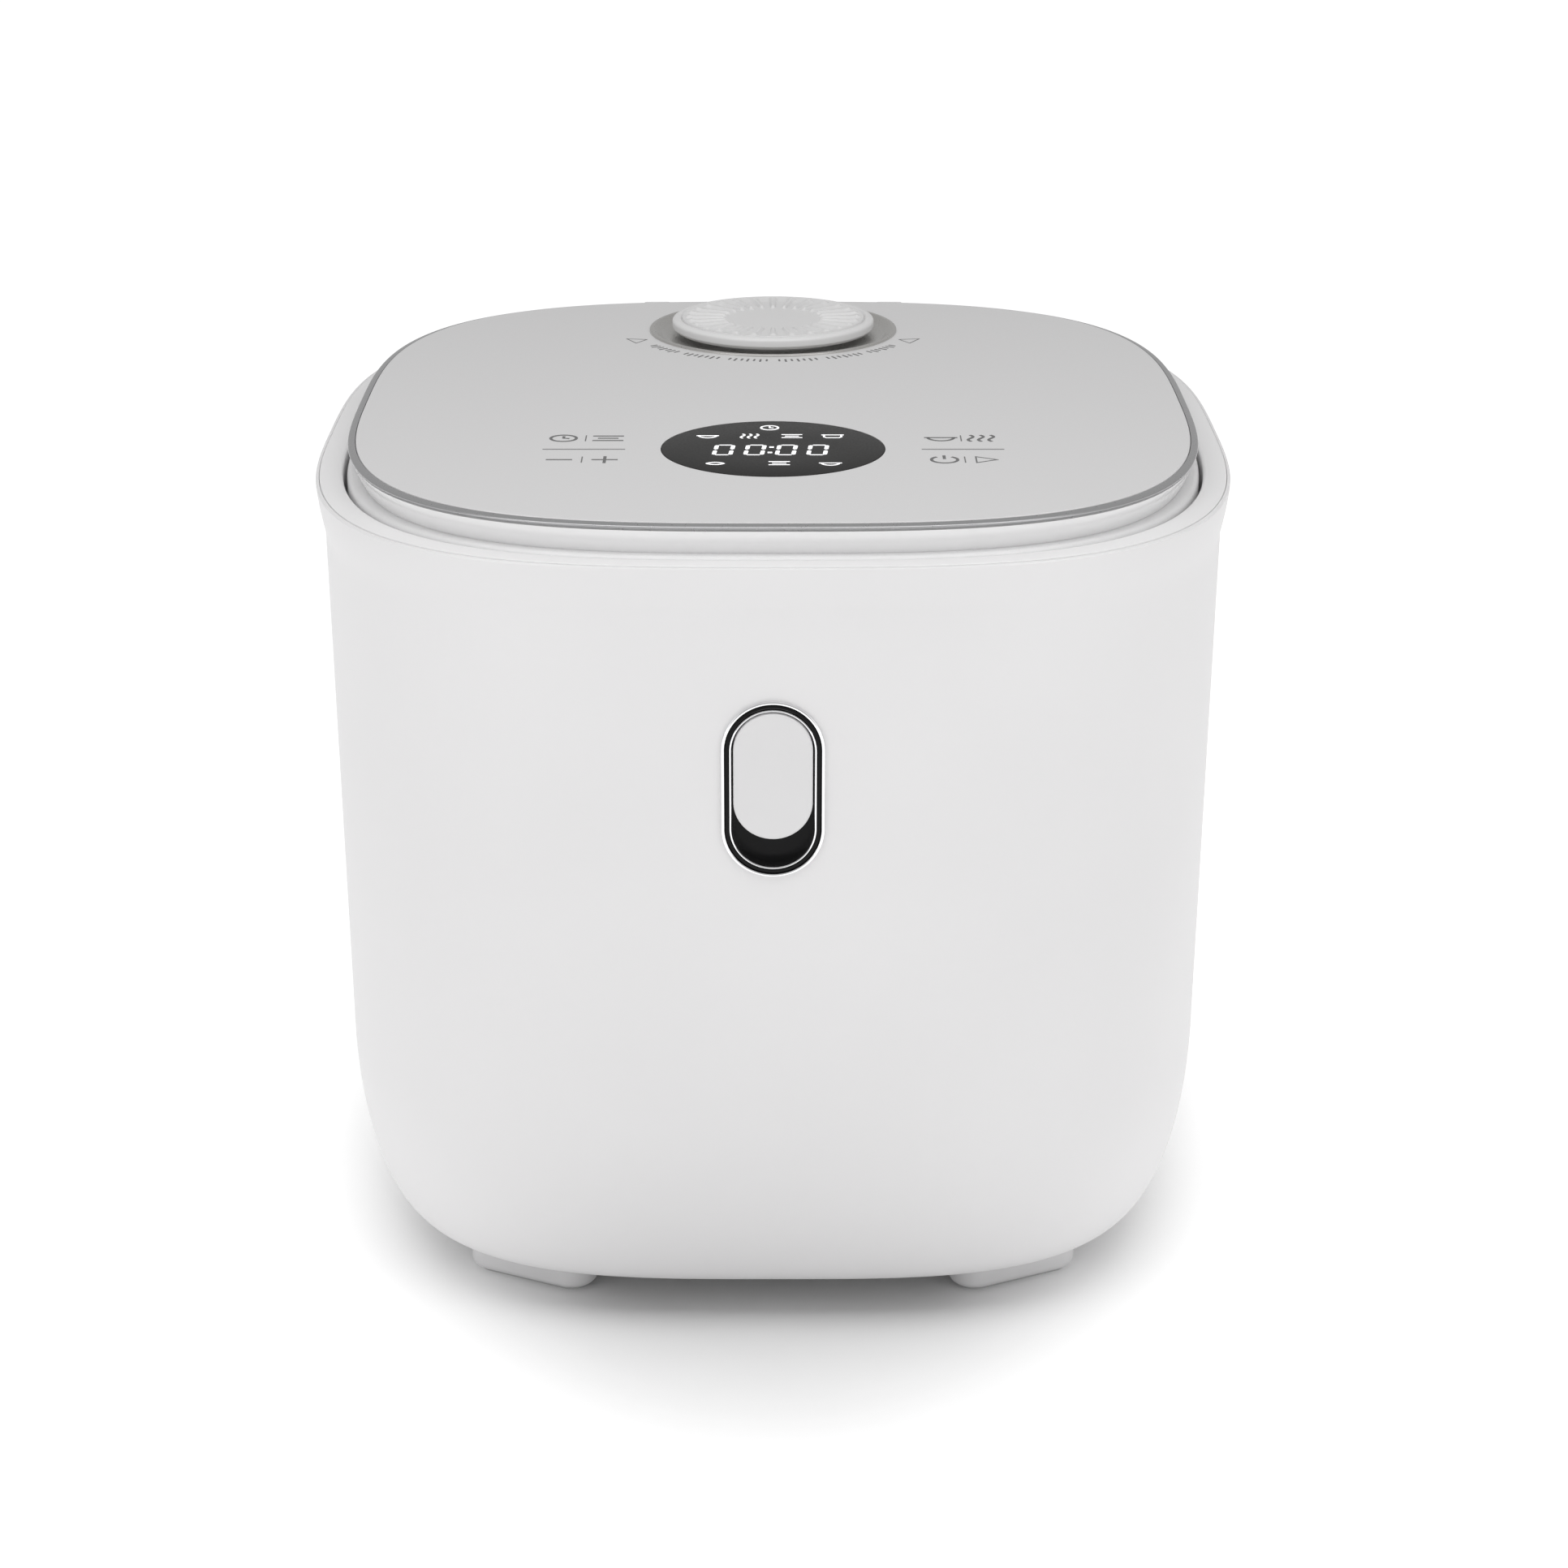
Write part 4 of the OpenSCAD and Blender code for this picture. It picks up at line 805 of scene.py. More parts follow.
def sheet(skin, above, z_top, z_low, below, inset, shares, holes=()):
    """A flat sheet with the rim's outline: rows above lead over its edge to the top face, which runs to
    the axis, and the low face runs back out to the rows below. Each hole is (column, half the columns,
    rows between, middle y, reach of its edge)."""
    far = reach(AROUND, half_w - inset, half_d - inset, RIM_POWER)
    faces = []
    for z, part in ((z_top, shares), (z_low, shares[::-1])):
        r = far * (1 - np.asarray(part)[:, None])
        faces.append(np.stack([r * np.cos(AROUND), r * np.sin(AROUND), np.full_like(r, z)], -1))
    grid = skin.add(np.concatenate([above, *faces, below]))
    keep = np.ones(grid.shape, bool)
    first, last = len(above), len(above) + 2 * len(shares) - 1
    for column, half, (near, far_row), middle_y, edge in holes:
        cols = np.arange(column - half, column + half + 1)
        loops = []
        steps = np.arange(near, far_row)
        for walk, z in ((first + steps, z_top), (last - steps, z_low)):
            keep[np.ix_(range(min(walk), max(walk)), cols[:-1])] = False
            loops.append(close_in(
                skin, loop_of(grid, walk, cols), [0, 1], np.array([0.0, middle_y]), edge, at_level(z)))
        skin.band(*loops)
    skin.quads(grid, wrap=True, keep=keep)


def ring_reach(radius):
    """Reach of a round hole's edge, the same in every direction."""
    return lambda angles: np.full_like(angles, radius)


skin = Skin()
ledge_rows = outline_grid([
    (SKIRT_IN + SKIRT_WALL, skirt_z), (SKIRT_IN + 0.5, skirt_z), (SKIRT_IN + 0.1, skirt_z + 0.15),
    (SKIRT_IN, skirt_z + 0.5), (SKIRT_IN, deck_z - 6), (SKIRT_IN, deck_z - 1.6),
    (SKIRT_IN + 0.12, deck_z - 0.95),
    (SKIRT_IN + 0.45, deck_z - 0.4), (SKIRT_IN + 0.95, deck_z - 0.08), (SKIRT_IN + 1.5, deck_z)])
under_rows = outline_grid([
    (SKIRT_IN + SKIRT_WALL, deck_z - DECK_T - 0.6), (SKIRT_IN + SKIRT_WALL, skirt_z + 4)])
sheet(skin, ledge_rows, deck_z, deck_z - DECK_T, under_rows, SKIRT_IN + 3, np.linspace(0, 1, 22),
      [(BACK, 36, (1, 13), vent[1], ring_reach(well_r))])
for side in CORNERS:
    tube_post(skin, side * LID_POST_AT, 1.35, 3.5, skirt_z, deck_z - DECK_T)
make_piece("lid_tray", skin, lid_white, "lid", ["lid_shell"])

# %% Lid knuckle
skin = Skin()
KNUCKLE_HALF = 22
knuckle_top = hinge_z + 1.4
barrel(skin, -KNUCKLE_HALF, KNUCKLE_HALF)
box_skin(skin, (-KNUCKLE_HALF, 121.5, deck_z - 0.6), (KNUCKLE_HALF, 128.6, knuckle_top), corner=0.8, edge=0.5)
box_skin(skin, (-KNUCKLE_HALF, 127.6, rim_z + 0.6), (KNUCKLE_HALF, 133.2, knuckle_top), corner=1.2, edge=0.5)
make_piece("lid_knuckle", skin, lid_white, "lid")

# %% Side ring, band and plate
band_z = corners("lid_band")[0][2]
half_gap = math.atan2(KNUCKLE_HALF + 0.4, half_d - EDGE_IN)
open_angles = np.linspace(np.pi / 2 + half_gap, 2.5 * np.pi - half_gap, 361)
skin = Skin()
belly = [(EDGE_IN + 3.4, deck_z), (EDGE_IN + 2.75, deck_z + 1.2), (EDGE_IN + 2.1, deck_z + 2.6),
         (EDGE_IN + 1.45, deck_z + 4.2), (EDGE_IN + 0.95, deck_z + 5.6), (EDGE_IN + 0.8, band_z)]
ring = belly + [(EDGE_IN + 2.2, band_z), (EDGE_IN + 4.8, deck_z)]
grid = skin.add(outline_grid(ring, angles=open_angles))
skin.quads(grid, wrap=True, ring=False)
skin.cap(grid[:, 0])
skin.cap(grid[::-1, -1])
make_piece("lid_gloss_ring", skin, side_pearl, "lid", ["lid_side_ring"], crease=40)

skin = Skin()
band = rounded([(EDGE_IN + 0.8, lid_z - 1.9, 0.1), (EDGE_IN, lid_z - 0.7, 0.35),
                (EDGE_IN + BAND_W, lid_z - 0.15, 0.12), (EDGE_IN + BAND_W, lid_z - 1.9, 0)], 4)
skin.quads(skin.add(outline_grid(band)), wrap=True)
make_piece("lid_edge_band", skin, band_grey, "lid", ["lid_band"])

# %% Silver plate
DISPLAY_R, VENT_R, PLATE_T = 29.3, 36.8, 1.2
plate_in = EDGE_IN + BAND_W + 0.15
lens_low, lens_high = corners("display_lens")
display = np.array([0.0, (lens_low[1] + lens_high[1]) / 2])
skin = Skin()
plate_edge = outline_grid([
    (plate_in, lid_z - PLATE_T), (plate_in, lid_z - 0.32), (plate_in + 0.1, lid_z - 0.1),
    (plate_in + 0.32, lid_z)])
plate_under = outline_grid([(plate_in + 0.3, lid_z - PLATE_T)])
shares = np.concatenate([[0, 0.006, 0.014, 0.022], np.linspace(0.05, 0.93, 32), [1.0]])
vent_rows = (3, np.searchsorted(shares, 0.62))
display_rows = np.searchsorted(shares, (0.22, 0.9))
sheet(skin, plate_edge, lid_z, lid_z - PLATE_T, plate_under, plate_in + 0.6, shares, [
    (BACK, 29, vent_rows, vent[1], ring_reach(VENT_R - 1.6)),
    (FRONT, 38, display_rows, display[1], ring_reach(DISPLAY_R + 0.15))])
make_piece("lid_plate", skin, plate_satin, "lid", ["lid_top_plate"])

# %% [markdown]
# ## The display
#
# The display is a round black lens that stands a tenth of a millimetre proud of the plate. What is
# lit on it is drawn with thin raised ribbons: strokes that taper at both ends for the clock's digits,
# and small pictures above and below them. The pictures are plain ones of our own.
# %% Display lens
skin = Skin()
lens_top = lens_high[2]
glass = [(0, lens_top), (DISPLAY_R * 0.5, lens_top), (DISPLAY_R - 0.5, lens_top),
         (DISPLAY_R - 0.12, lens_top - 0.1), (DISPLAY_R, lens_top - 0.35), (DISPLAY_R, lens_low[2]),
         (0, lens_low[2])]
turned(skin, glass, display, 192, closed=False)
make_piece("display_glass", skin, lens_black, "lid", ["display_lens"])

# %% [markdown]
# A mark is a flat strip with a small thickness. Its sides are worked out from a line of points: at
# each point the strip is half its width to either side, along the line's own normal.
# %% Marks from strips
def strip(skin, line, width, z, height=0.05, closed=False):
    """A raised strip along a line of (x, y) points; width is one value or one for each point."""
    line = np.asarray(line, float)
    if closed:
        ahead, behind = np.roll(line, -1, 0), np.roll(line, 1, 0)
    else:
        ahead, behind = np.vstack([line[1:], line[-1:]]), np.vstack([line[:1], line[:-1]])
    along = ahead - behind
    along /= np.linalg.norm(along, axis=1, keepdims=True)
    aside = np.stack([-along[:, 1], along[:, 0]], 1) * (np.broadcast_to(width, len(line)) / 2)[:, None]
    left, right = line + aside, line - aside
    low, high = np.full(len(line), z - height), np.full(len(line), z + height)
    loops = [np.column_stack([side, level]) for side, level in
             ((left, low), (left, high), (right, high), (right, low))]
    ids = skin.add(np.array(loops))
    skin.quads(ids, wrap=True, ring=closed)
    if not closed:
        skin.cap(ids[:, 0])
        skin.cap(ids[::-1, -1])


def arc(centre, radius, start, end, count=25):
    """Points on a circle between two angles in degrees."""
    t = np.radians(np.linspace(start, end, count))
    return np.column_stack([centre[0] + radius * np.cos(t), centre[1] + radius * np.sin(t)])


def segment(skin, place, start, end, width, z, slant):
    """One bar of a digit: a strip whose ends come to a point."""
    t = np.array([0, 0.12, 0.88, 1])[:, None]
    line = np.array(start) * (1 - t) + np.array(end) * t
    line = line + np.column_stack([line[:, 1] * slant, np.zeros(4)])
    strip(skin, np.array(place) + line, np.array([0.15, 1, 1, 0.15]) * width, z)


DIGIT_W, DIGIT_H, SLANT = 4.3, 10.2, math.tan(math.radians(4.5))
SEGMENTS = {"top": ((-0.5, 0.5), (0.5, 0.5)), "low": ((-0.5, -0.5), (0.5, -0.5)),
            "left up": ((-0.5, 0.03), (-0.5, 0.5)), "left down": ((-0.5, -0.5), (-0.5, -0.03)),
            "right up": ((0.5, 0.03), (0.5, 0.5)), "right down": ((0.5, -0.5), (0.5, -0.03))}


def zero(skin, place, z):
    """The digit 0 from six bars."""
    for start, end in SEGMENTS.values():
        size = np.array([DIGIT_W, DIGIT_H])
        wide = 0.6 if start[1] == end[1] else 1.1
        a, b = np.array(start) * size, np.array(end) * size
        gap = (b - a) / np.linalg.norm(b - a) * 0.32
        segment(skin, place, a + gap, b - gap, wide, z, SLANT)


# %% Lit marks on the display
def icon_clock(skin, at, size, width, z):
    """A ring with two hands."""
    strip(skin, arc(at, size, 0, 360, 33)[:-1], width, z, closed=True)
    strip(skin, [at + np.array([0, size * 0.6]), at, at + np.array([size * 0.45, -size * 0.1])], width, z)


def icon_pot(skin, at, size, width, z):
    """An open pot with a lid line above it."""
    body = [(-1, 0.5), (-1, -0.4), (-0.75, -0.75), (0.75, -0.75), (1, -0.4), (1, 0.5)]
    strip(skin, at + size * np.array(body), width, z)
    strip(skin, at + size * np.array([(-1.3, 0.55), (1.3, 0.55)]), width, z)


def icon_steam(skin, at, size, width, z):
    """Three upright waves."""
    t = np.linspace(-1, 1, 15)
    for dx in (-0.8, 0, 0.8):
        strip(skin, at + size * np.column_stack([dx + 0.22 * np.sin(t * np.pi), t]), width, z)


def icon_bowl(skin, at, size, width, z):
    """Half a ring under a straight line."""
    strip(skin, arc(at + np.array([0, size * 0.2]), size, 180, 360), width, z)
    strip(skin, at + size * np.array([(-1.3, 0.2), (1.3, 0.2)]), width, z)


def icon_bars(skin, at, size, width, z):
    """Three level lines, the middle one shorter."""
    for k, reach_x in enumerate((1.2, 0.8, 1.2)):
        strip(skin, at + size * np.array([(-reach_x, 0.7 - 0.7 * k), (reach_x, 0.7 - 0.7 * k)]), width, z)


def icon_leaf(skin, at, size, width, z):
    """Two arcs that meet at their ends."""
    upper_side = arc(at + size * np.array([0, -0.7]), size * 1.2, 35, 145, 13)
    lower_side = arc(at + size * np.array([0, 0.7]), size * 1.2, 215, 325, 13)[1:-1]
    strip(skin, np.vstack([upper_side, lower_side]), width, z, closed=True)


skin = Skin()
mark_z = lens_top + 0.02
DIGIT_Y, DOT = -2.3, 1.2
for x in (-12.9, -4.7, 3.5, 11.7):
    zero(skin, display + (x, DIGIT_Y), mark_z)
for y in (-2.7, 2.9):
    dot = np.array([(y * SLANT - DOT, DIGIT_Y + y), (y * SLANT, DIGIT_Y + y)])
    strip(skin, display + dot, DOT, mark_z)
MARK_SIZE, MARK_W = 2.3, 0.55
lit = [
    (icon_clock, (-0.9, 21.5)),
    (icon_bowl, (-17.3, 12.4)), (icon_steam, (-6.2, 12.4)), (icon_bars, (5, 12.4)), (icon_pot, (15.8, 12.4)),
    (icon_leaf, (-14.9, -16.3)), (icon_bars, (1.6, -16)), (icon_bowl, (14.8, -16.3)),
]
for icon, at in lit:
    icon(skin, display + at, MARK_SIZE, MARK_W, mark_z)
make_piece("display_marks", skin, lit_white, "lid", crease=60)

# %% [markdown]
# The touch fields left and right of the display are only printed on the plate. The print is a few
# hundredths of a millimetre thick. Fine lines divide the four fields on each side. In front of the
# steam vent an arc of short ticks lies on the plate, with a small triangle beyond either end.
# %% Printed marks on the plate
def icon_plus(skin, at, size, width, z):
    """Two crossed lines."""
    strip(skin, at + size * np.array([(-1, 0), (1, 0)]), width, z)
    strip(skin, at + size * np.array([(0, -1), (0, 1)]), width, z + 0.004)


def icon_minus(skin, at, size, width, z):
    """One level line."""
    strip(skin, at + size * np.array([(-1, 0), (1, 0)]), width, z)


def icon_power(skin, at, size, width, z):
    """A ring that is open at the top, with an upright line in the gap."""
    strip(skin, arc(at, size, 125, 415, 31), width, z)
    strip(skin, at + size * np.array([(0, 0.2), (0, 1.25)]), width, z)


def icon_start(skin, at, size, width, z):
    """A triangle that points right."""
    strip(skin, at + size * np.array([(-0.7, 0.9), (0.9, 0), (-0.7, -0.9)]), width, z, closed=True)


skin = Skin()
print_z = lid_z + 0.02
PRINT_SIZE, PRINT_W, LINE_Y, LINE_W = 3.4, 0.8, -1.2, 0.45
FIELD_BACK, FIELD_FRONT, FIELD_HALF = 10.5, -12, 3
fields = [
    (icon_clock, -55.4, FIELD_BACK), (icon_bars, -43.6, FIELD_BACK),
    (icon_minus, -55.4, FIELD_FRONT), (icon_plus, -43.6, FIELD_FRONT),
    (icon_bowl, 44.4, FIELD_BACK), (icon_steam, 55, FIELD_BACK),
    (icon_power, 44.4, FIELD_FRONT), (icon_start, 55, FIELD_FRONT),
]
for icon, x, y in fields:
    icon(skin, display + (x, y), PRINT_SIZE, PRINT_W, print_z)
for x0, x1 in ((-60.3, -38.7), (38.9, 60.5)):
    strip(skin, display + np.array([(x0, LINE_Y), (x1, LINE_Y)]), LINE_W, print_z)
for x in (-49.5, 49.7):
    for y in (FIELD_BACK, FIELD_FRONT):
        strip(skin, display + np.array([(x, y - FIELD_HALF), (x, y + FIELD_HALF)]), 0.3, print_z)
for k, turn in enumerate(np.radians(np.linspace(212, 328, 47))):
    if k % 8 != 7:
        ends = np.array([VENT_R + 3.2, VENT_R + (6.2 if k % 2 else 5.4)])
        strip(skin, vent + ends[:, None] * (math.cos(turn), math.sin(turn)), 0.55, print_z)
for sx in (-1, 1):
    triangle = np.array([(-3, 1.6), (3, 2.6), (0, -3.2)]) + (40.2, -15.5)
    strip(skin, vent + triangle * (sx, 1), LINE_W, print_z, closed=True)
make_piece("plate_marks", skin, print_grey, "lid", crease=60)

# %% [markdown]
# ## The steam vent
#
# A shallow dish of brownish satin metal is set into the plate round the vent. The round cap lies in
# it like a coin: a low white disc with a ring of 28 fine ribs that catch the light.
# %% Vent dish
skin = Skin()
foot_z = deck_z - lid_z
dish = rounded([
    (VENT_R, 0, 0), (VENT_R, 0.6, 0.3), (VENT_R - 1.2, 0.6, 0.35), (VENT_R - 3.6, -0.85, 1.2),
    (cap_r - 1, -1.4, 3.0), (well_r, -1.6, 0.3), (well_r, foot_z, 0), (well_r + 1.2, foot_z, 0),
    (well_r + 1.2, -2.8, 0.3),
    (VENT_R - 4.4, -2.4, 1), (VENT_R - 1.8, -1.0, 0.2), (VENT_R - 1.8, 0, 0)], 5)
turned(skin, dish + (0, lid_z), vent, 256)
make_piece("vent_dish", skin, bezel_satin, "lid", ["vent_bezel"])

# %% [markdown]
# The cap's top is one surface over radius and angle. A rib is a smooth wave along the angle that
# fades in and out along the radius, so the ribs have round tops and soft ends.
# %% Steam cap
RIBS, RIB_H, DISH_DEPTH = 28, 0.85, 1.0
cap_rise = valve_high[2] - lid_z
cap_side = rounded([(neck_r - 1.5, -7, 0), (neck_r, -7, 0.4), (neck_r, 0.4, 0.3), (cap_r - 1, 0.4, 0.2),
                    (cap_r, 1.3, 0.4), (cap_r, cap_rise - 0.9, 1.0), (cap_r - 2.2, cap_rise, 1.2)], 5)
skin = Skin()
count = RIBS * 14
side_grid = turned_grid(cap_side + (0, lid_z), vent, count)
radius = np.concatenate([np.linspace(cap_r - 3.0, cap_r * 0.44, 44), np.linspace(cap_r * 0.42, 0, 8)])
angle = np.arange(count) * 2 * np.pi / count
dished = cap_rise - DISH_DEPTH * np.clip((cap_r - 2.2 - radius) / 4.5, 0, 1) ** 0.8
along = np.clip((radius - cap_r * 0.46) / (cap_r * 0.42), 0, 1)
fade = np.clip(np.minimum(along, 1 - along) / 0.12, 0, 1)
wave = np.clip(np.cos(RIBS * angle) * 1.5 - 0.3, 0, 1)
rib = RIB_H * (fade * fade * (3 - 2 * fade))[:, None] * wave ** 0.8
top_grid = turned_grid(np.column_stack([radius, lid_z + dished]), vent, count)
top_grid[..., 2] += rib
under_grid = turned_grid(np.array([(0, 0.4), (neck_r - 1.5, 0.4)]) + (0, lid_z), vent, count)
skin.quads(skin.add(np.concatenate([under_grid, side_grid, top_grid])))
make_piece("vent_cap", skin, cap_white, "steam_valve", ["steam_cap"], crease=50)

# %% [markdown]
# Under the cap hangs the valve's cup, with a short tube to one side that reaches the cooking space.
# It is seen when the cap is lifted out.
# %% Valve cup under the cap
TUBE_R, CUP_WALL, SEAL_W = 11.5, 1.5, 3.5
tube_low = corners("steam_valve_body")[0][2]
tube_y = corners("vent_seal")[0][1] + SEAL_W + TUBE_R
cup_r = neck_r - 0.8
cup_top, cup_low = lid_z - 7, lid_z - 15.3
cup_in, tube_in, tube_top = cup_r - CUP_WALL, TUBE_R - CUP_WALL, cup_low + 0.6
skin = Skin()
cup = rounded([(0, cup_low + CUP_WALL, 0), (cup_in, cup_low + CUP_WALL, 1.5), (cup_in, cup_top, 0.4),
               (cup_r, cup_top, 0.4), (cup_r, cup_low, 2.0), (0, cup_low, 0)], 5)
turned(skin, cup, vent, 128, closed=False)
tube = [(tube_in, tube_low, 0.4), (TUBE_R, tube_low, 0.4), (TUBE_R, tube_top, 0), (tube_in, tube_top, 0)]
turned(skin, rounded(tube, 4), (0.0, tube_y), 96)
make_piece("valve_cup", skin, valve_white, "steam_valve", ["steam_valve_body"])

# %% [markdown]
# ## The release
#
# The release is a tall capsule set into the front wall. From outside in it has a thin bright ring,
# a gloss black ring, a second bright ring, a dark gap, and the light grey button, which leaves a black
# crescent of the recess below it. Each is a profile of (offset, depth) carried round the capsule, and
# the whole leans back with the wall.
# %% Carrying a profile round a capsule
CAPSULE = 160


def on_front(local):
    """Places (x, depth, height) points, measured from the release's middle, in the front wall."""
    return lean(local, release_z)


def capsule_grid(w, h, profile, up=0.0):
    """Rows round a capsule of that width and height: each profile point is (offset inwards, depth)."""
    rows = []
    for offset, depth in profile:
        plan = capsule_outline(w, h, offset, CAPSULE)
        rows.append(np.column_stack([plan[:, 0], np.full(CAPSULE, depth), plan[:, 1] + up]))
    return on_front(np.array(rows))


BEZEL_W, BEZEL_H, WELL_W, WELL_H, TRIM_W, TRIM_H = 25.8, 46.3, 24.1, 44.6, 21.9, 42.2
BUTTON_W, BUTTON_H, BUTTON_UP, WELL_FLOOR = 19.7, 33.0, 3.5, 3.5
skin = Skin()
wide = (BEZEL_W - WELL_W) / 2
bezel = [(0, 0), (0.0, -0.45), (0.12, -0.75), (0.38, -0.9), (wide - 0.3, -0.9), (wide - 0.08, -0.78),
         (wide, -0.5), (wide, 3.0), (0.4, 3.0), (0.4, 0)]
skin.quads(skin.add(capsule_grid(BEZEL_W, BEZEL_H, bezel)), wrap=True)
make_piece("release_ring", skin, chrome, "casing", ["release_bezel"])

# %% Black well of the release
skin = Skin()
black = (WELL_W - TRIM_W) / 2
SLOT_HALF_W, SLOT_LOW, SLOT_HIGH, WELL_BACK = 3.3, BUTTON_UP - 12, BUTTON_UP + 6.5, 5.5
slot_mid = (SLOT_LOW + SLOT_HIGH) / 2


def slot_row(depth):
    """The slot for the button's stem, at a depth, with one point for each point of the capsule."""
    plan = capsule_outline(TRIM_W, TRIM_H, 0, CAPSULE)
    angles = np.arctan2(plan[:, 1] - slot_mid, plan[:, 0])
    r = rounded_reach(angles, SLOT_HALF_W, (SLOT_HIGH - SLOT_LOW) / 2, 0.6)
    local = np.column_stack([r * np.cos(angles), np.full(CAPSULE, depth), slot_mid + r * np.sin(angles)])
    return on_front(local)[None]


well = capsule_grid(WELL_W - 0.1, WELL_H - 0.1, [
    (0, WELL_BACK), (0, -0.2), (0.15, -0.42), (0.4, -0.5), (black - 0.25, -0.5), (black - 0.05, -0.35),
    (black - 0.05, WELL_FLOOR)])
skin.quads(skin.add(np.concatenate([well, slot_row(WELL_FLOOR), slot_row(WELL_BACK)])), wrap=True)
cage_from, CAGE_HALF, CAGE_LOW, CAGE_TOP = WELL_BACK - 0.1, 11, -22, 16.5
for x in (-10, 10):
    box_skin(skin, (x - 1, cage_from, CAGE_LOW), (x + 1, 11, CAGE_TOP), place=on_front)
box_skin(skin, (-CAGE_HALF, 8.4, 14), (CAGE_HALF, 10.4, CAGE_TOP), place=on_front)
box_skin(skin, (-CAGE_HALF, cage_from, CAGE_LOW), (CAGE_HALF, 12.5, -20), place=on_front)
make_piece("release_pocket", skin, well_black, "casing", ["release_well"])

# %% Bright trim inside the well
skin = Skin()
TRIM_T = 0.6
trim = [(0, WELL_FLOOR), (0, -0.6), (0.12, -0.82), (0.3, -0.9), (TRIM_T - 0.12, -0.82), (TRIM_T, -0.6),
        (TRIM_T, WELL_FLOOR)]
skin.quads(skin.add(capsule_grid(TRIM_W - 0.1, TRIM_H - 0.1, trim)), wrap=True)
make_piece("release_inner_ring", skin, chrome, "casing", ["release_trim"])

# %% Button of the release
skin = Skin()
half = BUTTON_W / 2
crown = np.linspace(0, 1, 9)[1:]
button_rows = [(0.2, WELL_FLOOR - 0.3), (0, WELL_FLOOR - 0.5), (0, -0.55), (0.1, -0.8), (0.3, -0.98)]
button_rows += [(0.6, -1.05)] + [(0.6 + (half - 0.6) * t, -1.05 - 0.25 * (1 - (1 - t) ** 2)) for t in crown]
grid = skin.add(capsule_grid(BUTTON_W, BUTTON_H, button_rows, BUTTON_UP))
skin.quads(grid)
skin.cap(grid[0])
box_skin(skin, (-2.8, WELL_FLOOR - 0.4, BUTTON_UP - 5.5), (2.8, 6.0, BUTTON_UP + 6), place=on_front)
make_piece("release_key", skin, button_white, "release", ["release_button"])

# %% [markdown]
# ## The back
#
# Behind, the wall holds the inlet for the mains lead, a black socket with three flat pins, and above
# it the cup that catches the water that runs off the lid. The socket is a rounded rectangle carried
# from the bottom of its recess over the flange and back into the wall: half width, half height, corner
# radius, and how far out.
# %% Inlet
def lean_back(local, z0):
    """Places (x, outwards, height) points on the back wall at height z0, leaning with its draft."""
    x, y, z = np.moveaxis(np.asarray(local, float), -1, 0)
    c, s = math.cos(DRAFT), math.sin(DRAFT)
    return np.stack([x, wall_reach(0, z0) + y * c + z * s, z0 - y * s + z * c], -1)


skin = Skin()
turn, sx, sz = corner_turns(6)
socket = []
for half_x, half_z, corner, out in (
        (12.2, 8.3, 1.2, -15.5), (12.2, 8.3, 1.2, 1.2), (12.6, 8.7, 1.5, 1.6), (16.0, 12.0, 2.4, 1.6),
        (16.5, 12.5, 2.8, 1.1), (16.5, 12.5, 2.8, 0), (13.6, 10, 1.6, 0), (13.6, 10, 1.6, -19.8)):
    x, z = sx * (half_x - corner) + corner * np.cos(turn), sz * (half_z - corner) + corner * np.sin(turn)
    socket.append(np.column_stack([x, np.full_like(x, out), z]))
grid = skin.add(lean_back(socket, inlet_z))
skin.quads(grid)
skin.cap(grid[0])
skin.cap(grid[-1])
make_piece("mains_socket", skin, inlet_black, "casing", ["ac_inlet"])

# %% Condensate cup
skin = Skin()
dew_depth = dew_high[1] - dew_low[1]


def follow_wall(p):
    """Bends the cup's outer side so that it lies with the casing's curved wall."""
    share = np.clip((p[..., 1] - dew_low[1]) / dew_depth, 0, 1)
    shift = wall_reach(p[..., 0], p[..., 2]) - wall_reach(0.0, dew_high[2])
    out = p.copy()
    out[..., 1] += share * (shift - 0.05)
    return out


tray_skin(skin, dew_low, dew_high, 1.5, corner=2.5, place=follow_wall, steps=10)
make_piece("condensate_cup", skin, frame_white, "dew_cup", ["dew_collector"])

# %% [markdown]
# ## Inside
#
# With the lid open the pot shows, and in it the steel basket, which stays the frame's own part. The
# pot is a turned shape with a rounded bottom corner, and its flange lies on the shelf.
# %% Pot
def bowl(r, wall, corner, low, high, lip, steps=10):
    """Profile of a bowl: under its floor to the corner, up the wall, over the lip, and back inside."""
    a = np.linspace(0, np.pi / 2, steps)
    outside = np.column_stack([r - corner + corner * np.sin(a), low + corner - corner * np.cos(a)])
    hollow = corner - wall
    inside = np.column_stack([r - corner + hollow * np.sin(a), low + corner - hollow * np.cos(a)])
    return np.concatenate([[(0, low)], outside, lip, inside[::-1], [(0, low + wall)]])


skin = Skin()
FLANGE_R, POT_T = 103.0, 1.6
pot_low_z, pot_top = pot_low[2], pot_high[2]
flange = [(pot_r, shelf_z - 0.3), (pot_r + 0.3, shelf_z), (FLANGE_R - 0.3, shelf_z),
          (FLANGE_R, shelf_z + 0.3), (FLANGE_R, pot_top - 0.3), (FLANGE_R - 0.3, pot_top),
          (pot_r + 1, pot_top), (pot_r - 0.9, pot_top - 0.4), (pot_r - POT_T, pot_top - 1.6)]
turned(skin, bowl(pot_r, POT_T, 18.0, pot_low_z, pot_top, flange), count=256, closed=False)
make_piece("cooking_pot", skin, pot_coating, "casing", ["inner_pot"])

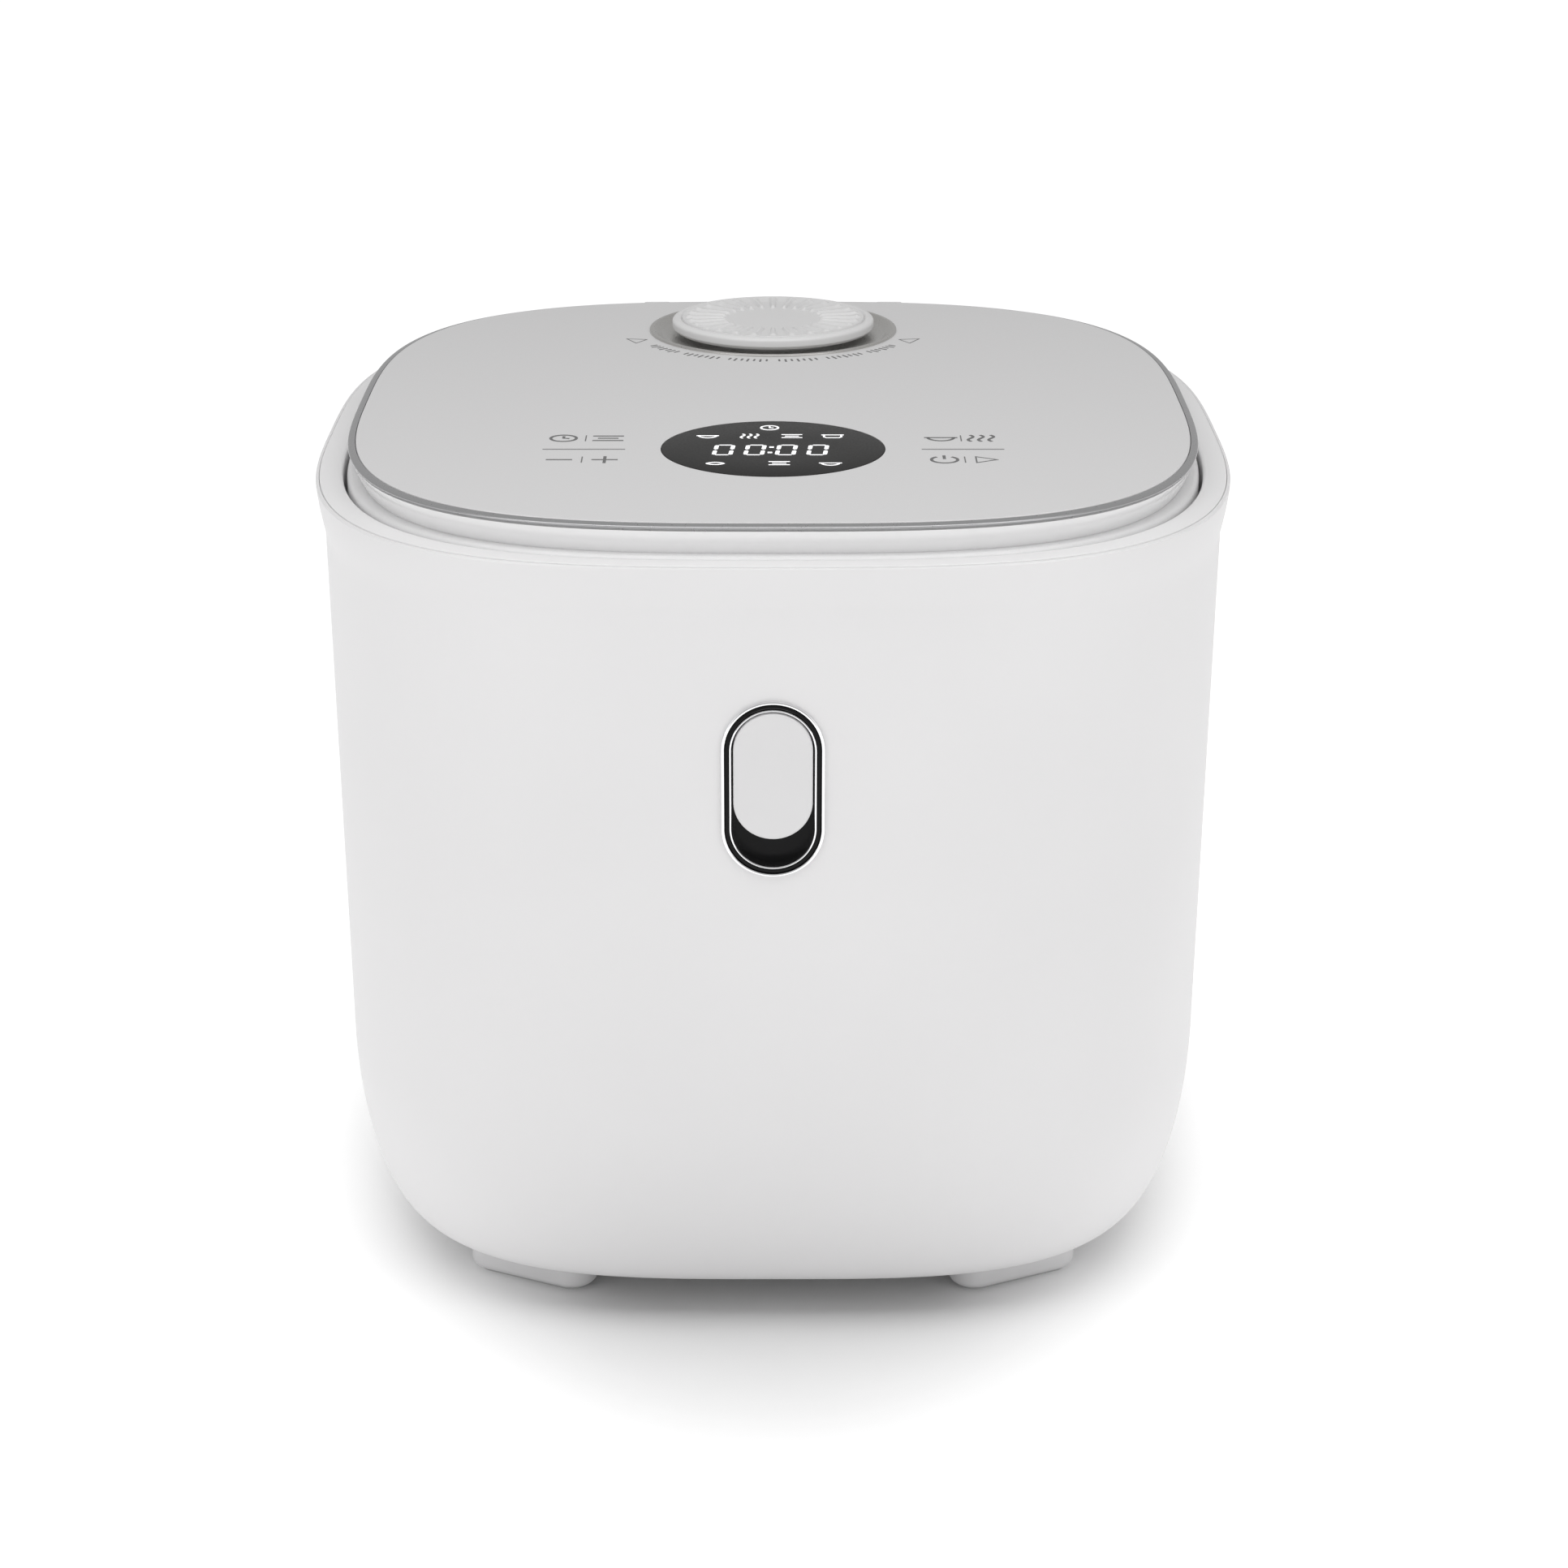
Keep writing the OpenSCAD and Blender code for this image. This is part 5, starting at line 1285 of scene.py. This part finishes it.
# %% [markdown]
# ## Studio
#
# A pale floor, a white surrounding, one wide softbox above and two at the sides. The upper one hangs a
# little in front of the cooker. The floor gives off some light of its own away from the cooker, so
# that only the patch round the feet is left in shadow.
# %% Floor
FLOOR = 12.0
floor_mesh = bpy.data.meshes.new("studio_floor")
floor_corners = [(FLOOR * x, FLOOR * y, 0) for x, y in ((-1, -1), (1, -1), (1, 1), (-1, 1))]
floor_mesh.from_pydata(floor_corners, [], [(0, 1, 2, 3)])
floor = bpy.data.objects.new("studio_floor", floor_mesh)
bpy.context.scene.collection.objects.link(floor)
floor_paint = moulded("floor_paint", (0.8, 0.8, 0.8), 0.6, 40, 1e-5, 0.01)
floor_mesh.materials.append(floor_paint)


def glow(material, near, far, most):
    """Light from within that grows from nothing at the near distance from the axis to its most at the
    far one. Distances across the cooker count 1.7 times, which draws the dark patch out in depth."""
    links = material.node_tree.links
    place = node(material, "TexCoord")
    mapping = node(material, "Mapping", Scale=(1.7, 1, 1))
    away = node(material, "VectorMath")
    away.operation = "LENGTH"
    ramp = node(material, "MapRange", From_Min=near, From_Max=far, To_Min=0.0, To_Max=most)
    ramp.interpolation_type = "SMOOTHSTEP"
    links.new(place.outputs["Object"], mapping.inputs["Vector"])
    links.new(mapping.outputs["Vector"], away.inputs[0])
    links.new(away.outputs["Value"], ramp.inputs["Value"])
    shader_of(material).inputs["Emission Color"].default_value = (1, 1, 1, 1)
    links.new(ramp.outputs["Result"], shader_of(material).inputs["Emission Strength"])


# Painted light: the floor glows from within away from the cooker. Near the feet the glow is off, so the dark
# patch there is shadow from the lamps, and where the glow begins sets its shape.
glow(floor_paint, 0.125, 0.27, 0.65)

# %% Lights
world = bpy.data.worlds.new("studio_air")
world.use_nodes = True
air = world.node_tree.nodes["Background"]
air.inputs["Color"].default_value = (1, 1, 1, 1)
air.inputs["Strength"].default_value = 0.5
bpy.context.scene.world = world


def softbox(name, place, target, size, power):
    """A rectangular area light at a place, turned to face a target."""
    lamp = bpy.data.lights.new(name, "AREA")
    lamp.shape, lamp.size, lamp.size_y, lamp.energy = "RECTANGLE", *size, power
    holder = bpy.data.objects.new(name, lamp)
    holder.location = place
    holder.rotation_euler = (Vector(target) - Vector(place)).to_track_quat("-Z", "Y").to_euler()
    bpy.context.scene.collection.objects.link(holder)


softbox("softbox_top", (0, -0.28, 0.75), (0, -0.05, 0.2), (0.9, 0.4), 2.6)
softbox("softbox_left", (-0.9, -0.8, 0.5), (0, 0, 0.12), (0.5, 0.8), 1.1)
softbox("softbox_right", (0.9, -0.8, 0.5), (0, 0, 0.12), (0.5, 0.8), 1.1)

# %% Camera
optics = bpy.data.cameras.new("camera")
optics.lens, optics.sensor_width = 83.85, 36
optics.shift_x = 0.007
camera = bpy.data.objects.new("camera", optics)
camera.location = (0, -0.9856, 0.4575)
camera.rotation_euler = (math.radians(90 - 19.57), 0, 0)
bpy.context.scene.collection.objects.link(camera)
bpy.context.scene.camera = camera
bpy.context.scene.view_settings.view_transform = "Standard"
